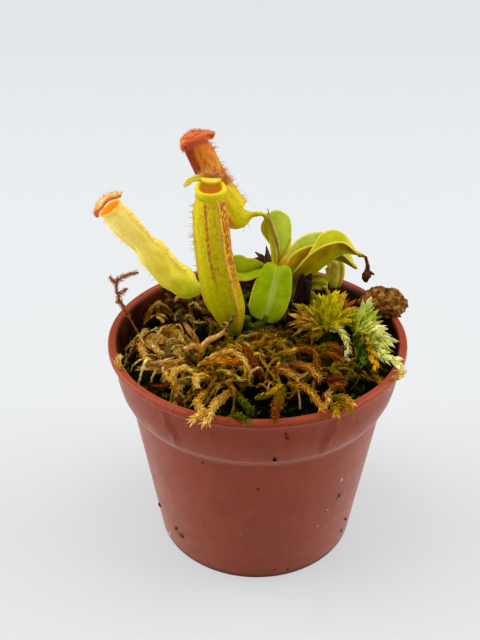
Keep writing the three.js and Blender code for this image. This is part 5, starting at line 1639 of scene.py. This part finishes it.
deadPieces = {
    "dried_tendril": {
        "slot": "dead_brown", "deep": (70, 38, 24), "light": (160, 100, 66),
        "strands": [
            {"path": [[22.9, 15, 56.7], [23.3, 14.9, 55.4], [23.6, 14.8, 54], [23.4, 14.6, 52.5],
                      [23.3, 14.4, 50.6]],
             "radii": [0.32, 0.35, 0.5, 0.95, 0.4]},
            {"path": [[23.4, 14.7, 53.2], [24.2, 14.4, 53], [25.1, 14.2, 52.6]],
             "radii": [0.5, 0.35, 0.15]},
        ],
    },
    "dead_stem": {
        "slot": "dead_dark", "deep": (12, 5, 4), "light": (74, 34, 20),
        "strands": [
            {"path": [[8.4, 8, 38], [8.7, 8, 46.6], [9.5, 8.2, 51.5], [10.1, 8.4, 55.6]],
             "radii": [1.5, 1.75, 1.6, 1.5]},
            {"path": [[10.6, 8.3, 54.6], [10.9, 8.2, 55.6], [11.1, 8.1, 56.2]], "radii": [0.8, 0.6, 0.2]},
            {"path": [[9.3, 8, 55], [9.3, 7.9, 55.8], [9.4, 7.9, 56.4]], "radii": [0.8, 0.6, 0.2]},
        ],
    },
    "dead_leaf": {
        "slot": "dead_brown", "deep": (64, 38, 24), "light": (130, 84, 56),
        "strands": [
            {"path": [[4.3, 14.2, 48], [3.4, 14.6, 51.5], [2.5, 14.7, 55], [2.0, 15, 59.2]],
             "radii": [0.8, 1.6, 1.5, 0.12], "flat": 0.5},
            {"path": [[2.9, 14.7, 53.8], [1.3, 15, 56], [-0.4, 15, 57.7]], "radii": [1.2, 1.1, 0.15],
             "flat": 0.5},
            {"path": [[1.6, 14.7, 55.6], [0.4, 15, 56], [-0.8, 15, 56]], "radii": [0.9, 0.6, 0.12],
             "flat": 0.5},
        ],
    },
    "straw_stick": {
        "slot": "straw", "deep": (206, 150, 76), "light": (248, 204, 124), "dark": 0.72,
        "scales": {"thick": 0.5, "spread": 0.14, "step": 0.3, "size": 0.85, "burnt": 0.9, "fray": 1.5},
        "strands": [
            {"path": [[-11.8, -5.4, 44], [-10.2, -4.9, 47.7], [-7, -4, 49.2], [-5.5, -3.4, 51],
                      [-4.6, -3, 53.2]],
             "radii": [0.6, 0.62, 0.55, 0.4, 0.12]},
            {"path": [[-5.6, -3.4, 50.9], [-6.2, -3.6, 51.1], [-7, -3.7, 51.2]],
             "radii": [0.4, 0.3, 0.12]},
        ],
    },
    "straw_stub": {
        "slot": "straw", "deep": (170, 120, 60), "light": (226, 180, 106), "dark": 0.66,
        "scales": {"thick": 0.45, "spread": 0.14, "step": 0.3, "size": 0.85, "burnt": 0.9, "fray": 1.5},
        "strands": [
            {"path": [[-11.8, -1.6, 44], [-12.6, -1, 46.3], [-14.7, 1.5, 48.1], [-16.6, 3.5, 49.3]],
             "radii": [0.5, 0.58, 0.55, 0.4]},
        ],
    },
    "moss_sprig": {
        "slot": "dead_brown", "deep": (120, 70, 44), "light": (190, 134, 96),
        "scales": {"thick": 0.26, "spread": 0.7, "step": 0.22, "size": 0.66},
        "strands": [
            {"path": [[-22.4, 0.6, 41.8], [-23.9, 1, 45.4], [-25.5, 1.2, 49.1], [-27.7, 1.5, 54.2],
                      [-28, 1.5, 57], [-27.7, 1.5, 58.3]],
             "radii": [0.4, 0.26, 0.2, 0.17, 0.17, 0.16]},
            {"path": [[-27.9, 1.5, 58], [-26.5, 1.3, 59], [-24.9, 1.2, 59.8], [-23.2, 1, 60.2]],
             "radii": [0.16, 0.18, 0.24, 0.14]},
            {"path": [[-27.9, 1.5, 57.7], [-28.6, 1.6, 58], [-29.2, 1.6, 59]], "radii": [0.16, 0.2, 0.14]},
            {"path": [[-27.8, 1.4, 55], [-26.8, 1.2, 55.5], [-25.8, 1, 56.7]], "radii": [0.1, 0.12, 0.06]},
            {"path": [[-27.4, 1.4, 53.4], [-27.9, 1.3, 53.4], [-28.4, 1.2, 53.7]],
             "radii": [0.1, 0.1, 0.06]},
        ],
    },
}


def makeDeadPieces():
    for seed, (name, look) in enumerate(deadPieces.items()):
        strands = [layStrand(dict(strand, wobble=0.35, seed=seed), 10, 22) for strand in look["strands"]]
        piece = joinPieces(strands)
        dress(piece, barkSkin(name + "Skin", look))
        settle(piece, name + "_body", look["slot"], [name], smooth=50)
        if "scales" not in look:
            continue
        dice = random.Random(seed)
        light = shadeOf(look["light"])
        places = []
        for strand in look["strands"]:
            line, _ = smoothLine(strand["path"], 16)
            start = 8 if len(strand["path"]) > 5 else 0
            last = light * (0.5 if "dark" in look else 1.1)
            scaly = dict(look["scales"], first=light * 0.8, last=last)
            places += leavesAlong(line[start:], scaly, dice)
        scales = spreadCopies(mossLeaf("fine"), places)
        dress(scales, mossTissue)
        settle(scales, name + "_scales", look["slot"], [name], smooth=0)
    print("dead pieces made")


makeDeadPieces()


lump = {
    "centre": (26.4, 9.6, 48.1),
    "size": (5.3, 4.2, 3.6),
    "warts": 0.22,
    "foot": {
        "path": [[24, 8.8, 41.5], [24.4, 9, 44.5], [24.6, 9, 47]], "radii": [2.2, 2.3, 2.6],
        "wobble": 0.5,
    },
    "colours": [(0.3, (84, 50, 12)), (0.5, (146, 100, 30)), (0.64, (196, 150, 70)),
                (0.8, (224, 190, 120))],
}


def makeLump():
    centre = Vector(lump["centre"])
    deselectAll()
    bpy.ops.mesh.primitive_ico_sphere_add(subdivisions=6, radius=1)
    piece = bpy.context.object
    for vertex in piece.data.vertices:
        way = vertex.co.normalized()
        warts = noise.voronoi(way * 3.4 + Vector((4, 2, 7)))[0][0]
        swell = 0.12 * noise.fractal(way * 2.2, 1, 2, 3)
        rough = 1.04 - lump["warts"] * warts + swell + 0.05 * noise.fractal(way * 9, 1, 2, 3)
        vertex.co = (centre + Vector(a * b for a, b in zip(way * rough, lump["size"]))) * mm
    piece = joinPieces([piece, layStrand(lump["foot"], 20, 14)])
    material, tree, shader = newSkin("oldMossClump", Roughness=0.75)
    patches = cloudOf(tree, 1.3, 4)
    colour = rampOf(tree, patches, lump["colours"])
    tree.links.new(colour, shader.inputs["Base Color"])
    bumpFrom(tree, shader, cloudOf(tree, 0.5, 4), 0.25)
    dress(piece, material)
    settle(piece, "mossClump", "moss_lump", ["moss_lump"], smooth=60)
    print("clump made")


makeLump()
